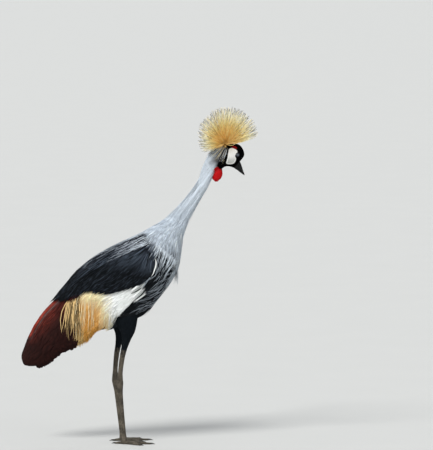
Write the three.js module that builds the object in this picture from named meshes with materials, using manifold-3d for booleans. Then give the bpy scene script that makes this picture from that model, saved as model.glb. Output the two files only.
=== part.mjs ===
// Grey crowned crane, standing, life size, in millimetres.
// It faces +X with its plane of symmetry at y = 0, +Z is up, and its toes stand at z = 0.
// The feathered body is one hull that follows the plumage's outline, parted into named pieces by thin cuts.
import * as THREE from 'three';
import { mergeVertices } from 'three/addons/utils/BufferGeometryUtils.js';
import Module from 'manifold-3d';

const wasm = await Module();
wasm.setup();

// Driving dimensions, in millimetres
const GAP = 0.4; // clearance of every thin cut between neighbouring pieces
const REACH = 700; // longer than anything here, for prisms that cut right through
const HULL = { sides: 14, stepsEach: 2 }; // facets round it, and steps between two stations

// The hull's stations, from the foot of the bill over the head, down the neck and along the body to the
// folded wings' tip: a point on the back's outline, one on the throat's or belly's, the half width between
// them, and how far the widest place lies towards the back.
const NECK_STATIONS = [
  { back: [391, 905], front: [371, 884], wide: 9, egg: 0 },
  { back: [404, 927], front: [356, 889], wide: 18, egg: 0.05 },
  { back: [389, 957], front: [343, 888], wide: 23, egg: 0.1 },
  { back: [345, 961], front: [331, 881], wide: 23.5, egg: 0.1 },
  { back: [301, 942], front: [318, 877], wide: 19, egg: 0 },
  { back: [272, 892], front: [306, 863], wide: 17, egg: 0 },
  { back: [250, 829], front: [286, 821], wide: 17.5, egg: 0 },
  { back: [208, 777], front: [254, 767], wide: 20.5, egg: 0 },
  { back: [150, 720], front: [223, 707], wide: 34, egg: 0 },
];
const BODY_STATIONS = [
  { back: [102, 691], front: [208, 662], wide: 53, egg: 0 },
  { back: [54, 664], front: [200, 614], wide: 74, egg: 0.05 },
  { back: [13, 645], front: [191, 563], wide: 88, egg: 0.1 },
  { back: [-29, 625], front: [162, 511], wide: 97, egg: 0.1 },
  { back: [-67, 605], front: [121, 458], wide: 101, egg: 0.08 },
  { back: [-102, 581], front: [80, 410], wide: 101, egg: 0.02 },
  { back: [-133, 552], front: [19, 384], wide: 97, egg: -0.06 },
  { back: [-160, 518], front: [-33, 358], wide: 89, egg: -0.15 },
  { back: [-186, 487], front: [-84, 324], wide: 78, egg: -0.25 },
  { back: [-213, 454], front: [-127, 306], wide: 66, egg: -0.32 },
  { back: [-246, 416], front: [-166, 292], wide: 54, egg: -0.35 },
  { back: [-275, 371], front: [-203, 264], wide: 43, egg: -0.35 },
  { back: [-299, 317], front: [-242, 243], wide: 32, egg: -0.3 },
  { back: [-311, 280], front: [-280, 241], wide: 22, egg: -0.2 },
  { back: [-309, 256], front: [-299, 245], wide: 12, egg: 0 },
];
// The trunk under the folded wings leaves the hull after this many body stations and closes at the rump
const TRUNK_STATIONS = 6;
const RUMP_STATIONS = [
  { back: [-121, 536], front: [16, 388], wide: 77, egg: 0 },
  { back: [-138, 497], front: [-36, 368], wide: 60, egg: 0 },
  { back: [-142, 457], front: [-78, 362], wide: 41, egg: 0 },
  { back: [-136, 424], front: [-104, 374], wide: 21, egg: 0 },
];

// The folded wing's thickness beside and above the trunk, and how far the hollow under it opens below
const WING = {
  depth: { shoulder: 19, tip: 13 },
  roof: { shoulder: 12, tip: 9 },
  open: { shoulder: -10, tip: 60, from: 0.15, to: 0.5 },
  slack: 2, // between the wing's inside and the trunk
  firstStation: 3,
};
// Outlines seen from the side, as [x, z]
const WING_OUTLINE = [
  [96, 635], [113, 617], [123, 586], [121, 568], [110, 547], [88, 512], [61, 470], [35, 440], [5, 402],
  [-18, 389], [-26, 330], [-186, 205], [-378, 205], [-378, 525], [-186, 600], [-122, 594], [-92, 560],
  [-52, 580], [6, 606], [38, 621], [64, 636],
];
const SCAPULAR_OUTLINE = [
  [REACH, 700], [REACH, 534], [69, 510], [14, 491], [-38, 480], [-106, 483], [-160, 463],
  [-240, 446], [-REACH, 446], [-REACH, 700],
];
const COVERT_OUTLINE = [[REACH, 700], [-44, 700], [-52, 440], [-62, 200], [REACH, 200]];
const PLUME_OUTLINE = [
  [REACH, 700], [-166, 700], [-172, 450], [-184, 400], [-174, 325], [-150, 200], [REACH, 200],
];

// Thin cuts across the hull, from the back's side to the throat's or breast's
const NECK_CUTS = {
  head: [[289, 934], [315, 876]],
  neck_upper: [[258, 849], [294, 838]],
  neck_middle: [[208, 777], [254, 767]],
  neck_lower: [[126, 706], [216, 686]],
};

const BILL_STATIONS = [
  { back: [384, 912], front: [362, 892], wide: 9, egg: 0 },
  { back: [391, 902], front: [372, 883], wide: 8.2, egg: 0 },
  { back: [396, 889], front: [381, 877], wide: 6.6, egg: 0 },
  { back: [400, 876], front: [390, 870], wide: 4.6, egg: 0 },
  { back: [404, 866], front: [399, 863.5], wide: 2.4, egg: 0 },
  { back: [405.6, 860.5], front: [404, 860], wide: 0.8, egg: 0 },
];
const GAPE = [[352, 905], [376, 886], [412, 855]];
const NOSTRIL = {
  at: [390.5, 890.5],
  along: [0.6, -0.8],
  halfLong: 5.2,
  halfHigh: 1.3,
  inner: 3.4,
  reach: 5,
};
const EYE = { x: 382, z: 927, side: 17, radius: 5.7 };
const CHEEK = {
  depth: 1.8,
  from: 8,
  outline: [
    [355, 946], [365, 948.5], [381.5, 940], [380, 930], [374.5, 925], [377.5, 913], [373, 901],
    [360, 896], [346.5, 899], [349.5, 913], [352, 929],
  ],
};
const WATTLE = {
  line: [[322, 892], [321, 880], [318, 866], [315, 850], [315, 840]],
  sizes: [[4, 3], [13, 7], [17, 9], [14, 8], [4, 3]],
};
const CROWN = {
  root: [343, 0, 962],
  bed: [19, 15, 10],
  centre: [351, 0, 986],
  radii: [95, 80, 92],
  lowest: { x: 259, z: 926, slope: 0.31 }, // no bristle's tip hangs below this line
  tips: 72, // spread evenly over the whole ellipsoid, before the lowest line takes its share
  rootRadius: 1.5,
  tipRadius: 0.5,
};

const TAIL = {
  line: [[-70, 440], [-130, 384], [-178, 334], [-214, 290]],
  sizes: [[8, 22], [7, 26], [6, 30], [3, 24]],
};
const PRIMARIES = {
  line: [[-70, 430], [-130, 372], [-176, 322], [-205, 288]],
  sizes: [[20, 3], [19, 3], [14, 3], [5, 2]],
  side: { root: 46, tip: 31 },
};

// The leg's centre line, from within the trunk to the foot, with its half depth and half width
const LEG = [
  { z: 470, x: 8, deep: 44, wide: 30 },
  { z: 405, x: 20, deep: 38, wide: 28 },
  { z: 366, x: 25, deep: 25, wide: 20 },
  { z: 340, x: 22, deep: 15, wide: 14 },
  { z: 312, x: 16.5, deep: 10.2, wide: 9.6 },
  { z: 280, x: 10, deep: 8.4, wide: 7.4 },
  { z: 235, x: 5, deep: 7.6, wide: 6.8 },
  { z: 212, x: 4, deep: 9.2, wide: 8 },
  { z: 196, x: 4, deep: 10.6, wide: 9 },
  { z: 180, x: 5, deep: 8.8, wide: 7.6 },
  { z: 160, x: 7, deep: 6.8, wide: 5.8 },
  { z: 90, x: 14, deep: 6.2, wide: 5.2 },
  { z: 34, x: 20, deep: 6.4, wide: 5.8 },
  { z: 1, x: 23.5, deep: 10.4, wide: 9.4 },
];
const LEG_CUTS = { thigh: 304, shank: 210, tarsus: 24 };
const STANCE = {
  // each side's shift along X at the top and at the foot, and how far from the middle it stands
  right: { top: 8, foot: -2, hip: -48, ankle: -38 },
  left: { top: -20, foot: -11, hip: 48, ankle: 38 },
};
const TOE = { root: [6, 6.4], tip: [3, 3.3], rootHigh: 5.6, tipHigh: 2.6 };
const TOES = {
  // turn from straight ahead towards the other foot in degrees, length without the claw, claw's length
  inner: { turn: 23, long: 60, claw: 15 },
  middle: { turn: -7, long: 82, claw: 16 },
  outer: { turn: -38, long: 64, claw: 13 },
  hind: { turn: 172, long: 30, claw: 13 },
};
const CLAW = { deep: 2.7, wide: 2.3, fine: 0.6, rootHigh: 3.2, arch: 3.6, tipHigh: 1.4 };

const COLOURS = {
  plumeGrey: 0xaab4b6, slate: 0x3c4149, coal: 0x14181a, white: 0xe6e9e6, gold: 0xc79a55, chestnut: 0x5a2a24,
  velvet: 0x070809, skinWhite: 0xe3e1dc, wattleRed: 0xa80f16, straw: 0xd8bf7c, bill: 0x23272a, iris: 0xb9c4c9,
  leg: 0x3a3a36, claw: 0x1c1b19,
};

// A closed three.js geometry as a solid whose faces point out
function solidOf(geometry) {
  const bare = geometry.index ? geometry.toNonIndexed() : geometry.clone();
  bare.deleteAttribute('normal');
  bare.deleteAttribute('uv');
  const merged = mergeVertices(bare, 1e-3);
  const vertProperties = new Float32Array(merged.attributes.position.array);
  const corners = Array.from(merged.index.array);
  const place = (n) => new THREE.Vector3().fromArray(vertProperties, 3 * corners[n]);
  const faces = [];
  let volume = 0;
  for (let n = 0; n < corners.length; n += 3) {
    const [a, b, c] = corners.slice(n, n + 3);
    if (a !== b && b !== c && c !== a) {
      faces.push([a, b, c]);
      volume += place(n).dot(place(n + 1).cross(place(n + 2)));
    }
  }
  const triVerts = new Uint32Array(faces.flatMap((face) => (volume < 0 ? face.reverse() : face)));
  return new wasm.Manifold(new wasm.Mesh({ numProp: 3, vertProperties, triVerts }));
}

function geometryOf(solid) {
  const mesh = solid.getMesh();
  const geometry = new THREE.BufferGeometry();
  geometry.setAttribute('position', new THREE.BufferAttribute(new Float32Array(mesh.vertProperties), 3));
  geometry.setIndex(new THREE.BufferAttribute(new Uint32Array(mesh.triVerts), 1));
  geometry.computeVertexNormals();
  return geometry;
}

// A closed drum: place(u, angle, rim, spot) puts each point, with u from 0 to 1 along it, the angle round
// it, and rim 0 in the middle of its ends and 1 elsewhere
function drum(sides, steps, place) {
  const geometry = new THREE.CylinderGeometry(1, 1, 1, sides, steps);
  const position = geometry.attributes.position;
  const spot = new THREE.Vector3();
  for (let n = 0; n < position.count; n += 1) {
    spot.fromBufferAttribute(position, n);
    const rim = Math.round(Math.hypot(spot.x, spot.z));
    place(0.5 - spot.y, Math.atan2(spot.x, spot.z), rim, spot);
    position.setXYZ(n, spot.x, spot.y, spot.z);
  }
  return solidOf(geometry);
}

function curveThrough(points) {
  return new THREE.CatmullRomCurve3(points, false, 'centripetal');
}

// The solid through stations of an outline seen from the side, larger by grow all round
function hullThrough(stations, grow = 0, sides = HULL.sides) {
  const backs = curveThrough(stations.map(({ back }) => new THREE.Vector3(back[0], 0, back[1])));
  const fronts = curveThrough(stations.map(({ front }) => new THREE.Vector3(front[0], 0, front[1])));
  const widths = new THREE.SplineCurve(stations.map(({ wide, egg }) => new THREE.Vector2(wide, 100 * egg)));
  const steps = HULL.stepsEach * (stations.length - 1);
  return drum(sides, steps, (u, angle, rim, spot) => {
    const back = backs.getPoint(u);
    const front = fronts.getPoint(u);
    const { x: wide, y: egg } = widths.getPoint(u);
    const half = back.clone().sub(front).multiplyScalar(0.5);
    const longer = 1 + grow / half.length();
    spot.copy(back).add(front).multiplyScalar(0.5);
    spot.addScaledVector(half, rim * longer * Math.cos(angle));
    spot.y = rim * (wide + grow) * Math.sin(angle) * (1 + (egg / 100) * Math.cos(angle));
  });
}

// A tube along points, with a half depth and a half width at each; the depth lies towards the up direction
function limb(points, sizes, sides, steps, up) {
  const path = curveThrough(points);
  const girth = new THREE.SplineCurve(sizes.map(([deep, wide]) => new THREE.Vector2(deep, wide)));
  return drum(sides, steps, (u, angle, rim, spot) => {
    const along = path.getTangent(u);
    const across = new THREE.Vector3().crossVectors(along, up).normalize();
    const top = new THREE.Vector3().crossVectors(across, along);
    const { x: deep, y: wide } = girth.getPoint(u);
    spot.copy(path.getPoint(u));
    spot.addScaledVector(top, rim * deep * Math.cos(angle));
    spot.addScaledVector(across, rim * wide * Math.sin(angle));
  });
}

function ball(centre, radii, sides = 12) {
  const geometry = new THREE.SphereGeometry(1, sides, sides / 2);
  geometry.scale(...radii).translate(...centre);
  return solidOf(geometry);
}

function box(low, high) {
  const size = high.map((value, n) => value - low[n]);
  const geometry = new THREE.BoxGeometry(...size);
  geometry.translate(...low.map((value, n) => value + size[n] / 2));
  return solidOf(geometry);
}

// A prism along Y of an outline seen from the side, moved outwards by grow
function prism(outline, grow = 0, low = -REACH, high = REACH) {
  const points = outline.map(([x, z]) => new THREE.Vector2(x, z));
  if (THREE.ShapeUtils.isClockWise(points)) {
    points.reverse();
  }
  const outwards = (from, to) => new THREE.Vector2(to.y - from.y, from.x - to.x).normalize();
  const moved = points.map((point, n) => {
    const before = outwards(points.at(n - 1), point);
    const after = outwards(point, points[(n + 1) % points.length]);
    const corner = before.clone().add(after);
    return point.clone().addScaledVector(corner, grow / (1 + before.dot(after)));
  });
  const settings = { depth: high - low, bevelEnabled: false };
  const geometry = new THREE.ExtrudeGeometry(new THREE.Shape(moved), settings);
  geometry.rotateX(Math.PI / 2).translate(0, high, 0);
  return solidOf(geometry);
}

// All that lies above a line seen from the side
function above([[x1, z1], [x2, z2]]) {
  const along = new THREE.Vector2(x2 - x1, z2 - z1).normalize().multiplyScalar(REACH);
  const up = new THREE.Vector2(-along.y, along.x);
  const corner = (x, z, far, high) => [x + far * along.x + high * up.x, z + far * along.y + high * up.y];
  return [corner(x1, z1, -1, 0), corner(x2, z2, 1, 0), corner(x2, z2, 1, 1), corner(x1, z1, -1, 1)];
}

// What lies inside an outline, and the rest, with a gap between them
function parted(solid, outline) {
  return [solid.intersect(prism(outline, -GAP / 2)), solid.subtract(prism(outline, GAP / 2))];
}

function halfOf(solid, side) {
  const edges = side === 'left' ? [GAP / 2, REACH] : [-REACH, -GAP / 2];
  return solid.intersect(box([-REACH, edges[0], -REACH], [REACH, edges[1], 2 * REACH]));
}

// The stations of the space under the folded wings, which ends before their solid tip
function stationsUnderWings() {
  const last = BODY_STATIONS.length - 1;
  return BODY_STATIONS.slice(0, last).map(({ back, front, wide, egg }, n) => {
    const share = Math.max(0, (n - WING.firstStation) / (last - WING.firstStation));
    const between = ({ shoulder, tip }, amount = share) => THREE.MathUtils.lerp(shoulder, tip, amount);
    const top = new THREE.Vector2(...back);
    const low = new THREE.Vector2(...front);
    const up = top.clone().sub(low).normalize();
    top.addScaledVector(up, -Math.min(between(WING.roof), 0.4 * wide));
    const opened = THREE.MathUtils.smoothstep(share, WING.open.from, WING.open.to);
    low.addScaledVector(up, -between(WING.open, opened));
    const inner = Math.max(2, wide - between(WING.depth));
    return { back: top.toArray(), front: low.toArray(), wide: inner, egg };
  });
}

const FORWARD = new THREE.Vector3(1, 0, 0);
const UP = new THREE.Vector3(0, 0, 1);
const flat = ([x, z], y = 0) => new THREE.Vector3(x, y, z);

const crane = new THREE.Group();

function add(name, solid, color, roughness = 0.85) {
  const material = new THREE.MeshStandardMaterial({ color, roughness, metalness: 0 });
  const mesh = new THREE.Mesh(geometryOf(solid), material);
  mesh.name = name;
  crane.add(mesh);
}

const stations = [...NECK_STATIONS, ...BODY_STATIONS];
const hull = hullThrough(stations);
const aroundHull = hullThrough(stations, GAP);

// Head: eyes in their sockets, bare white cheeks let in, the bristle crown's bed on top, bill and wattle
const [headHull, belowHead] = parted(hull, above(NECK_CUTS.head));
const headStations = NECK_STATIONS.slice(0, 5);
const cheekBed = hullThrough(headStations, -CHEEK.depth);
const cheekFloor = hullThrough(headStations, -CHEEK.depth - GAP);
let head = headHull;
for (const [side, sign] of [['left', 1], ['right', -1]]) {
  const edges = sign > 0 ? [CHEEK.from, REACH] : [-REACH, -CHEEK.from];
  const recess = prism(CHEEK.outline, GAP, edges[0], edges[1]).subtract(cheekFloor);
  const centre = [EYE.x, sign * EYE.side, EYE.z];
  const socket = ball(centre, Array(3).fill(EYE.radius + GAP));
  const cheek = headHull.intersect(prism(CHEEK.outline, 0, edges[0], edges[1])).subtract(cheekBed);
  add(`cheek_${side}`, cheek.subtract(socket), COLOURS.skinWhite, 0.6);
  add(`eye_${side}`, ball(centre, Array(3).fill(EYE.radius)), COLOURS.iris, 0.1);
  head = head.subtract(recess).subtract(socket);
}
add('head', head, COLOURS.velvet);

const billHull = hullThrough(BILL_STATIONS, 0, 10).subtract(aroundHull);
const gapeOutline = [...GAPE, [500, 855], [500, 990], [352, 990]];
let [billUpper, billLower] = parted(billHull, gapeOutline);
for (const sign of [1, -1]) {
  const { at, along, halfLong, halfHigh, inner } = NOSTRIL;
  const slit = [-halfLong, halfLong].map((far) => {
    return flat([at[0] + far * along[0], at[1] + far * along[1]], sign * (inner + NOSTRIL.reach));
  });
  billUpper = billUpper.subtract(limb(slit, Array(2).fill([halfHigh, NOSTRIL.reach]), 5, 1, FORWARD));
}
add('bill_upper', billUpper, COLOURS.bill, 0.45);
add('bill_lower', billLower, COLOURS.bill, 0.45);

const wattle = limb(WATTLE.line.map((point) => flat(point)), WATTLE.sizes, 10, 7, FORWARD);
add('wattle', wattle.subtract(aroundHull), COLOURS.wattleRed, 0.5);

// The crown's stiff bristles, one golden-angle spiral of tips over an ellipsoid, on their bed
let crown = ball(CROWN.root, CROWN.bed);
const goldenAngle = Math.PI * (3 - Math.sqrt(5));
for (let n = 0; n < CROWN.tips; n += 1) {
  const height = 1 - (2 * n + 1) / CROWN.tips;
  const ring = Math.sqrt(1 - height * height);
  const way = new THREE.Vector3(ring * Math.cos(n * goldenAngle), ring * Math.sin(n * goldenAngle), height);
  const tip = new THREE.Vector3(...CROWN.centre).add(way.multiply(new THREE.Vector3(...CROWN.radii)));
  const { x, z, slope } = CROWN.lowest;
  if (tip.z > z + slope * (tip.x - x)) {
    const root = new THREE.Vector3(...CROWN.root);
    const long = tip.distanceTo(root);
    const bristle = new THREE.CylinderGeometry(CROWN.tipRadius, CROWN.rootRadius, long, 3);
    bristle.translate(0, long / 2, 0);
    const alongY = new THREE.Vector3(0, 1, 0);
    const turn = new THREE.Quaternion().setFromUnitVectors(alongY, tip.sub(root).normalize());
    bristle.applyQuaternion(turn).translate(...CROWN.root);
    crown = crown.add(solidOf(bristle));
  }
}
add('crown', crown.subtract(aroundHull), COLOURS.straw);

// Neck, in three lengths
let rest = belowHead;
for (const name of ['neck_upper', 'neck_middle', 'neck_lower']) {
  const [length, below] = parted(rest, above(NECK_CUTS[name]));
  add(name, length, COLOURS.plumeGrey);
  rest = below;
}

// Folded wings over the trunk, each in four feather groups, with the tail and the wings' tips under them
const under = stationsUnderWings();
const innerStations = [...under.slice(0, TRUNK_STATIONS), ...RUMP_STATIONS];
const innerTrunk = hullThrough(innerStations, -WING.slack);
const aroundTrunk = hullThrough(innerStations, GAP - WING.slack);
const hollow = hullThrough(under);
const insideHollow = hullThrough(under, -GAP);
const [wingZone, bodyOutside] = parted(rest, WING_OUTLINE);
add('trunk', bodyOutside.add(innerTrunk), COLOURS.slate);
const wings = wingZone.subtract(hollow);
for (const side of ['left', 'right']) {
  const [scapulars, lower] = parted(halfOf(wings, side), SCAPULAR_OUTLINE);
  const [coverts, behind] = parted(lower, COVERT_OUTLINE);
  const [plumes, secondaries] = parted(behind, PLUME_OUTLINE);
  add(`wing_${side}`, scapulars, COLOURS.coal);
  add(`coverts_${side}`, coverts, COLOURS.white);
  add(`plumes_${side}`, plumes, COLOURS.gold);
  add(`secondaries_${side}`, secondaries, COLOURS.chestnut);
  const sign = side === 'left' ? 1 : -1;
  const { root, tip } = PRIMARIES.side;
  const quill = PRIMARIES.line.map((point, n) => {
    const share = n / (PRIMARIES.line.length - 1);
    return flat(point, sign * THREE.MathUtils.lerp(root, tip, share));
  });
  const blade = limb(quill, PRIMARIES.sizes, 8, 6, FORWARD);
  add(`primaries_${side}`, blade.intersect(insideHollow).subtract(aroundTrunk), COLOURS.coal);
}
const tail = limb(TAIL.line.map((point) => flat(point)), TAIL.sizes, 10, 6, FORWARD);
add('tail', tail.intersect(insideHollow).subtract(aroundTrunk), COLOURS.coal);

// Legs: feathered thigh, bare shank, tarsus with the ankle, and a foot of four toes with their claws
for (const side of ['left', 'right']) {
  const { top, foot, hip, ankle } = STANCE[side];
  const [highest, lowest] = [LEG[0].z, LEG.at(-1).z];
  const line = LEG.map(({ x, z }) => {
    const share = (highest - z) / (highest - lowest);
    const out = THREE.MathUtils.lerp(hip, ankle, Math.min(1, 1.6 * share));
    return flat([x + THREE.MathUtils.lerp(top, foot, share), z], out);
  });
  const leg = limb(line, LEG.map(({ deep, wide }) => [deep, wide]), 8, 20, FORWARD).subtract(aroundHull);
  const level = (z) => above([[0, z], [1, z]]);
  const [thigh, belowThigh] = parted(leg, level(LEG_CUTS.thigh));
  const [shank, belowShank] = parted(belowThigh, level(LEG_CUTS.shank));
  const [tarsus, heel] = parted(belowShank, level(LEG_CUTS.tarsus));
  add(`thigh_${side}`, thigh, COLOURS.coal);
  add(`shank_${side}`, shank, COLOURS.leg, 0.6);
  add(`tarsus_${side}`, tarsus, COLOURS.leg, 0.6);
  const centre = line.at(-1);
  let toes = heel;
  const inwards = side === 'left' ? -1 : 1;
  for (const [name, { turn, long, claw }] of Object.entries(TOES)) {
    const angle = THREE.MathUtils.degToRad(inwards * turn);
    const spot = (far, high) => {
      return new THREE.Vector3(centre.x + far * Math.cos(angle), centre.y + far * Math.sin(angle), high);
    };
    const path = [spot(0, TOE.rootHigh), spot(0.5 * long, TOE.tipHigh + 1), spot(long, TOE.tipHigh)];
    const middle = TOE.root.map((size, n) => 0.4 * size + 0.6 * TOE.tip[n]);
    toes = toes.add(limb(path, [TOE.root, middle, TOE.tip], 6, 2, UP));
    const nail = [[GAP, CLAW.rootHigh], [0.5 * claw, CLAW.arch], [claw, CLAW.tipHigh]].map(([far, high]) => {
      return spot(long + far, high);
    });
    const sizes = [[CLAW.deep, CLAW.wide], [0.7 * CLAW.deep, 0.7 * CLAW.wide], [CLAW.fine, CLAW.fine]];
    add(`claw_${name}_${side}`, limb(nail, sizes, 5, 3, UP), COLOURS.claw, 0.4);
  }
  add(`foot_${side}`, toes.intersect(box([-REACH, -REACH, 0], [REACH, REACH, REACH])), COLOURS.leg, 0.6);
}

// The origin lies on the floor under the middle of the crane's length
crane.updateMatrixWorld(true);
const bounds = new THREE.Box3().setFromObject(crane);
crane.position.x = -(bounds.min.x + bounds.max.x) / 2;
crane.updateMatrixWorld(true);

export default crane;
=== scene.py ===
# A grey crowned crane, standing, life size: one skin under a coat of solid feathers, in metres.
# It faces +X with its plane of symmetry at y = 0 and stands on z = 0.
import math

import bpy
import numpy as np
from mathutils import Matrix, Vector
from mathutils.kdtree import KDTree


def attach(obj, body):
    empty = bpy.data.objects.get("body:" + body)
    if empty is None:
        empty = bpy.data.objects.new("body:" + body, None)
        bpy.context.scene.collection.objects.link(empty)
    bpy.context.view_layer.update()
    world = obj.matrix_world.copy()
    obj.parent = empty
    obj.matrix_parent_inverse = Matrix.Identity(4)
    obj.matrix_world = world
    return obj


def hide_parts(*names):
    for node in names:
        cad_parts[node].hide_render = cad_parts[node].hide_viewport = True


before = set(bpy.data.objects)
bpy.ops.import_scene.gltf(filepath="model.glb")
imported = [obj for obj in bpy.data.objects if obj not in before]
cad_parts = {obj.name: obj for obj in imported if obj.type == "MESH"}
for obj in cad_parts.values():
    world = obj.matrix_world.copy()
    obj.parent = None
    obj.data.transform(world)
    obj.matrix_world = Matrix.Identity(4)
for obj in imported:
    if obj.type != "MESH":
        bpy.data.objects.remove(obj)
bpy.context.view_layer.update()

MM = 0.001
ORIGIN_X = 67.352  # the outline's own x, in millimetres, over the frame's origin
TILT = math.radians(4.5)  # how far the view looks down

# Stations of the plumage's outline in millimetres, from the foot of the bill to the folded wings' tip:
# back x and z, throat or belly x and z, half width, and how far the widest place lies towards the back
HULL = [
    (391, 905, 371, 884, 9, 0), (404, 927, 356, 889, 18, 0.05), (389, 957, 343, 888, 23, 0.1),
    (345, 961, 331, 881, 23.5, 0.1), (301, 942, 318, 877, 19, 0), (272, 892, 306, 863, 17, 0),
    (250, 829, 286, 821, 17.5, 0), (208, 777, 254, 767, 20.5, 0), (150, 720, 223, 707, 34, 0),
    (102, 691, 208, 662, 53, 0), (54, 664, 200, 614, 74, 0.05), (13, 645, 191, 563, 88, 0.1),
    (-29, 625, 162, 511, 97, 0.1), (-67, 605, 121, 458, 101, 0.08), (-102, 581, 80, 410, 101, 0.02),
    (-133, 552, 19, 384, 97, -0.06), (-160, 518, -33, 358, 89, -0.15), (-186, 487, -84, 324, 78, -0.25),
    (-213, 454, -127, 306, 66, -0.32), (-246, 416, -166, 292, 54, -0.35), (-275, 371, -203, 264, 43, -0.35),
    (-299, 317, -242, 243, 32, -0.3), (-311, 280, -280, 241, 22, -0.2), (-309, 256, -299, 245, 12, 0),
]
RUMP = [
    (-121, 536, 16, 388, 77, 0), (-138, 497, -36, 368, 60, 0), (-142, 457, -78, 362, 41, 0),
    (-136, 424, -104, 374, 21, 0),
]
BODY_START = 9  # the first station behind the neck
HOLLOW_END = 22  # the last station of the space under the wings
TRUNK_STATIONS = 6  # how many of that space's stations the rump starts with
LAST = len(HULL) - 1
BILL = [
    (384, 912, 362, 892, 9, 0), (391, 902, 372, 883, 8.2, 0), (396, 889, 381, 877, 6.6, 0),
    (400, 876, 390, 870, 4.6, 0), (404, 866, 399, 863.5, 2.4, 0), (405.6, 860.5, 404, 860, 0.8, 0),
]

# Outlines seen from the side, in millimetres
WING = [
    (96, 635), (113, 617), (123, 586), (121, 568), (110, 547), (88, 512), (61, 470), (35, 440), (5, 402),
    (-18, 389), (-26, 330), (-186, 205), (-378, 205), (-378, 525), (-186, 600), (-122, 594), (-92, 560),
    (-52, 580), (6, 606), (38, 621), (64, 636),
]
PANEL = [
    (70, 507), (46, 497), (6, 487), (-26, 480), (-50, 476), (-74, 478), (-90, 482), (-106, 483),
    (-122, 477), (-148, 466), (-160, 462), (-172, 446), (-188, 400), (-190, 330), (-138, 300), (-60, 320),
    (-34, 366), (-6, 402), (32, 438), (58, 457), (86, 479), (80, 500),
]
CHESTNUT = [
    (-202, 452), (-168, 447), (-184, 400), (-186, 330), (-140, 302), (-120, 250), (-260, 205), (-360, 220),
    (-350, 300), (-300, 380), (-240, 440),
]
RED_EDGE = [(-196, 466), (-210, 452), (-242, 420), (-269, 380), (-286, 346)]
PALE = [
    (76, 672), (100, 644), (122, 622), (146, 609), (168, 598), (184, 574), (196, 548), (260, 520),
    (500, 700), (400, 1000), (100, 1000), (50, 760),
]
FACE = [
    (352, 990), (347, 943), (336, 927), (328, 915), (324, 903), (320, 892), (330, 878), (338, 860),
    (430, 850), (430, 1000),
]
THROAT_RED = [(331, 879), (339, 860), (336, 835), (300, 832), (296, 862), (307, 880), (315, 893), (321, 891)]
CHEEK = [
    (355, 946), (365, 948.5), (381.5, 940), (380, 930), (374.5, 925), (377.5, 913), (373, 901), (360, 896),
    (346.5, 899), (349.5, 913), (352, 929),
]
RED_BROW = [(362, 949), (367, 956), (376, 955.5), (382, 949), (379, 944), (366, 949.5)]
CRESCENT = [(120.5, 594), (121.5, 581), (120, 567), (114.5, 551), (105, 534)]
FLANK_PRONGS = [
    [(67, 508), (56, 499), (40, 487)], [(78, 503), (66, 489), (46, 468)], [(89, 482), (74, 473), (52, 454)],
]
FLANK_GAPS = [[(76, 503), (60, 492), (40, 483)], [(86, 493), (70, 476), (42, 456)]]
BACK_LINE = (0.3, 560)  # slope and height at x = 0 of the line that the back's feathers lie over
FACE_FOOT = 830  # the height that the face ends above
NECK_FOOT = 640  # the height that the neck starts to leave the body at
LEGS_FROM = -60  # the legs' colours lie before this x
PAST_WING = 18  # how far the white and golden panel goes on past the wing's edge

# Guides for the lie of the body's feathers: x, z, and the way they point there
LIE = [
    (152, 657, -0.45, -0.9), (30, 635, -0.94, -0.33), (-124, 551, -0.84, -0.54), (46, 601, -0.77, -0.64),
    (-2, 567, -0.69, -0.73), (108, 574, -0.15, -1), (-78, 517, -0.76, -0.65), (50, 525, -0.78, -0.62),
    (-30, 493, -0.96, -0.28), (-170, 475, -0.74, -0.67), (38, 477, -0.83, -0.55), (-22, 445, -0.78, -0.62),
    (-30, 383, -0.82, -0.57), (-80, 425, -0.34, -0.94), (-98, 369, -0.27, -0.96), (-158, 425, -0.27, -0.96),
    (-165, 371, -0.11, -0.99), (-62, 441, -0.55, -0.84), (-224, 417, -0.68, -0.73), (-268, 361, -0.54, -0.84),
    (-296, 309, -0.38, -0.92), (-228, 349, -0.53, -0.85), (-250, 279, -0.6, -0.8), (187, 595, 0.03, -1),
    (152, 581, -0.55, -0.84), (110, 533, -0.89, -0.45), (126, 503, -0.86, -0.51), (46, 449, -0.65, -0.76),
    (78, 445, -0.86, -0.51), (172, 513, -0.75, -0.66),
]

EYE = {"at": (382, 927), "side": 17, "radius": 5.7}
CROWN = {"root": (343, 0, 962), "bed": (19, 15, 10), "centre": (351, 0, 986), "radii": (98, 82, 95)}
BRISTLES = 1500  # over a whole ball, of which the crown keeps the part over its foot
CROWN_FOOT = (259, 926, 0.31)  # a place of the line that the tips stay over, and its slope
WATTLE = [(322, 892, 4, 3), (321, 880, 13, 7), (318, 866, 17, 9), (315, 850, 14, 8), (315, 840, 4, 3)]

# The leg's centre line: z, x, half depth and half width
LEG = [
    (470, 8, 44, 30), (405, 20, 38, 28), (366, 25, 25, 20), (340, 22, 15, 14), (312, 16.5, 10.2, 9.6),
    (280, 10, 8.4, 7.4), (235, 5, 7.6, 6.8), (212, 4, 9.2, 8), (196, 4, 10.6, 9), (180, 5, 8.8, 7.6),
    (160, 7, 6.8, 5.8), (90, 14, 6.2, 5.2), (34, 20, 6.4, 5.8), (1, 23.5, 10.4, 9.4),
]
STANCE = {"right": (8, -2, -48, -38), "left": (-20, -11, 48, 38)}  # shift at the top and foot, y at both
# Each toe's turn from straight ahead in degrees, its length and its claw's length
TOES = {"inner": (23, 60, 15), "middle": (-7, 82, 16), "outer": (-38, 64, 13), "hind": (172, 30, 13)}
LEG_SLACK, TOE_SLACK = 0.3, 0.25  # how far the skin lies inside the outline of the legs and toes
EYE_SLACK = 0.15  # how far an eye's socket lies off it
IRIS_REACH = 7.0  # how far off the pupil's middle an eye's colours run

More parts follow.
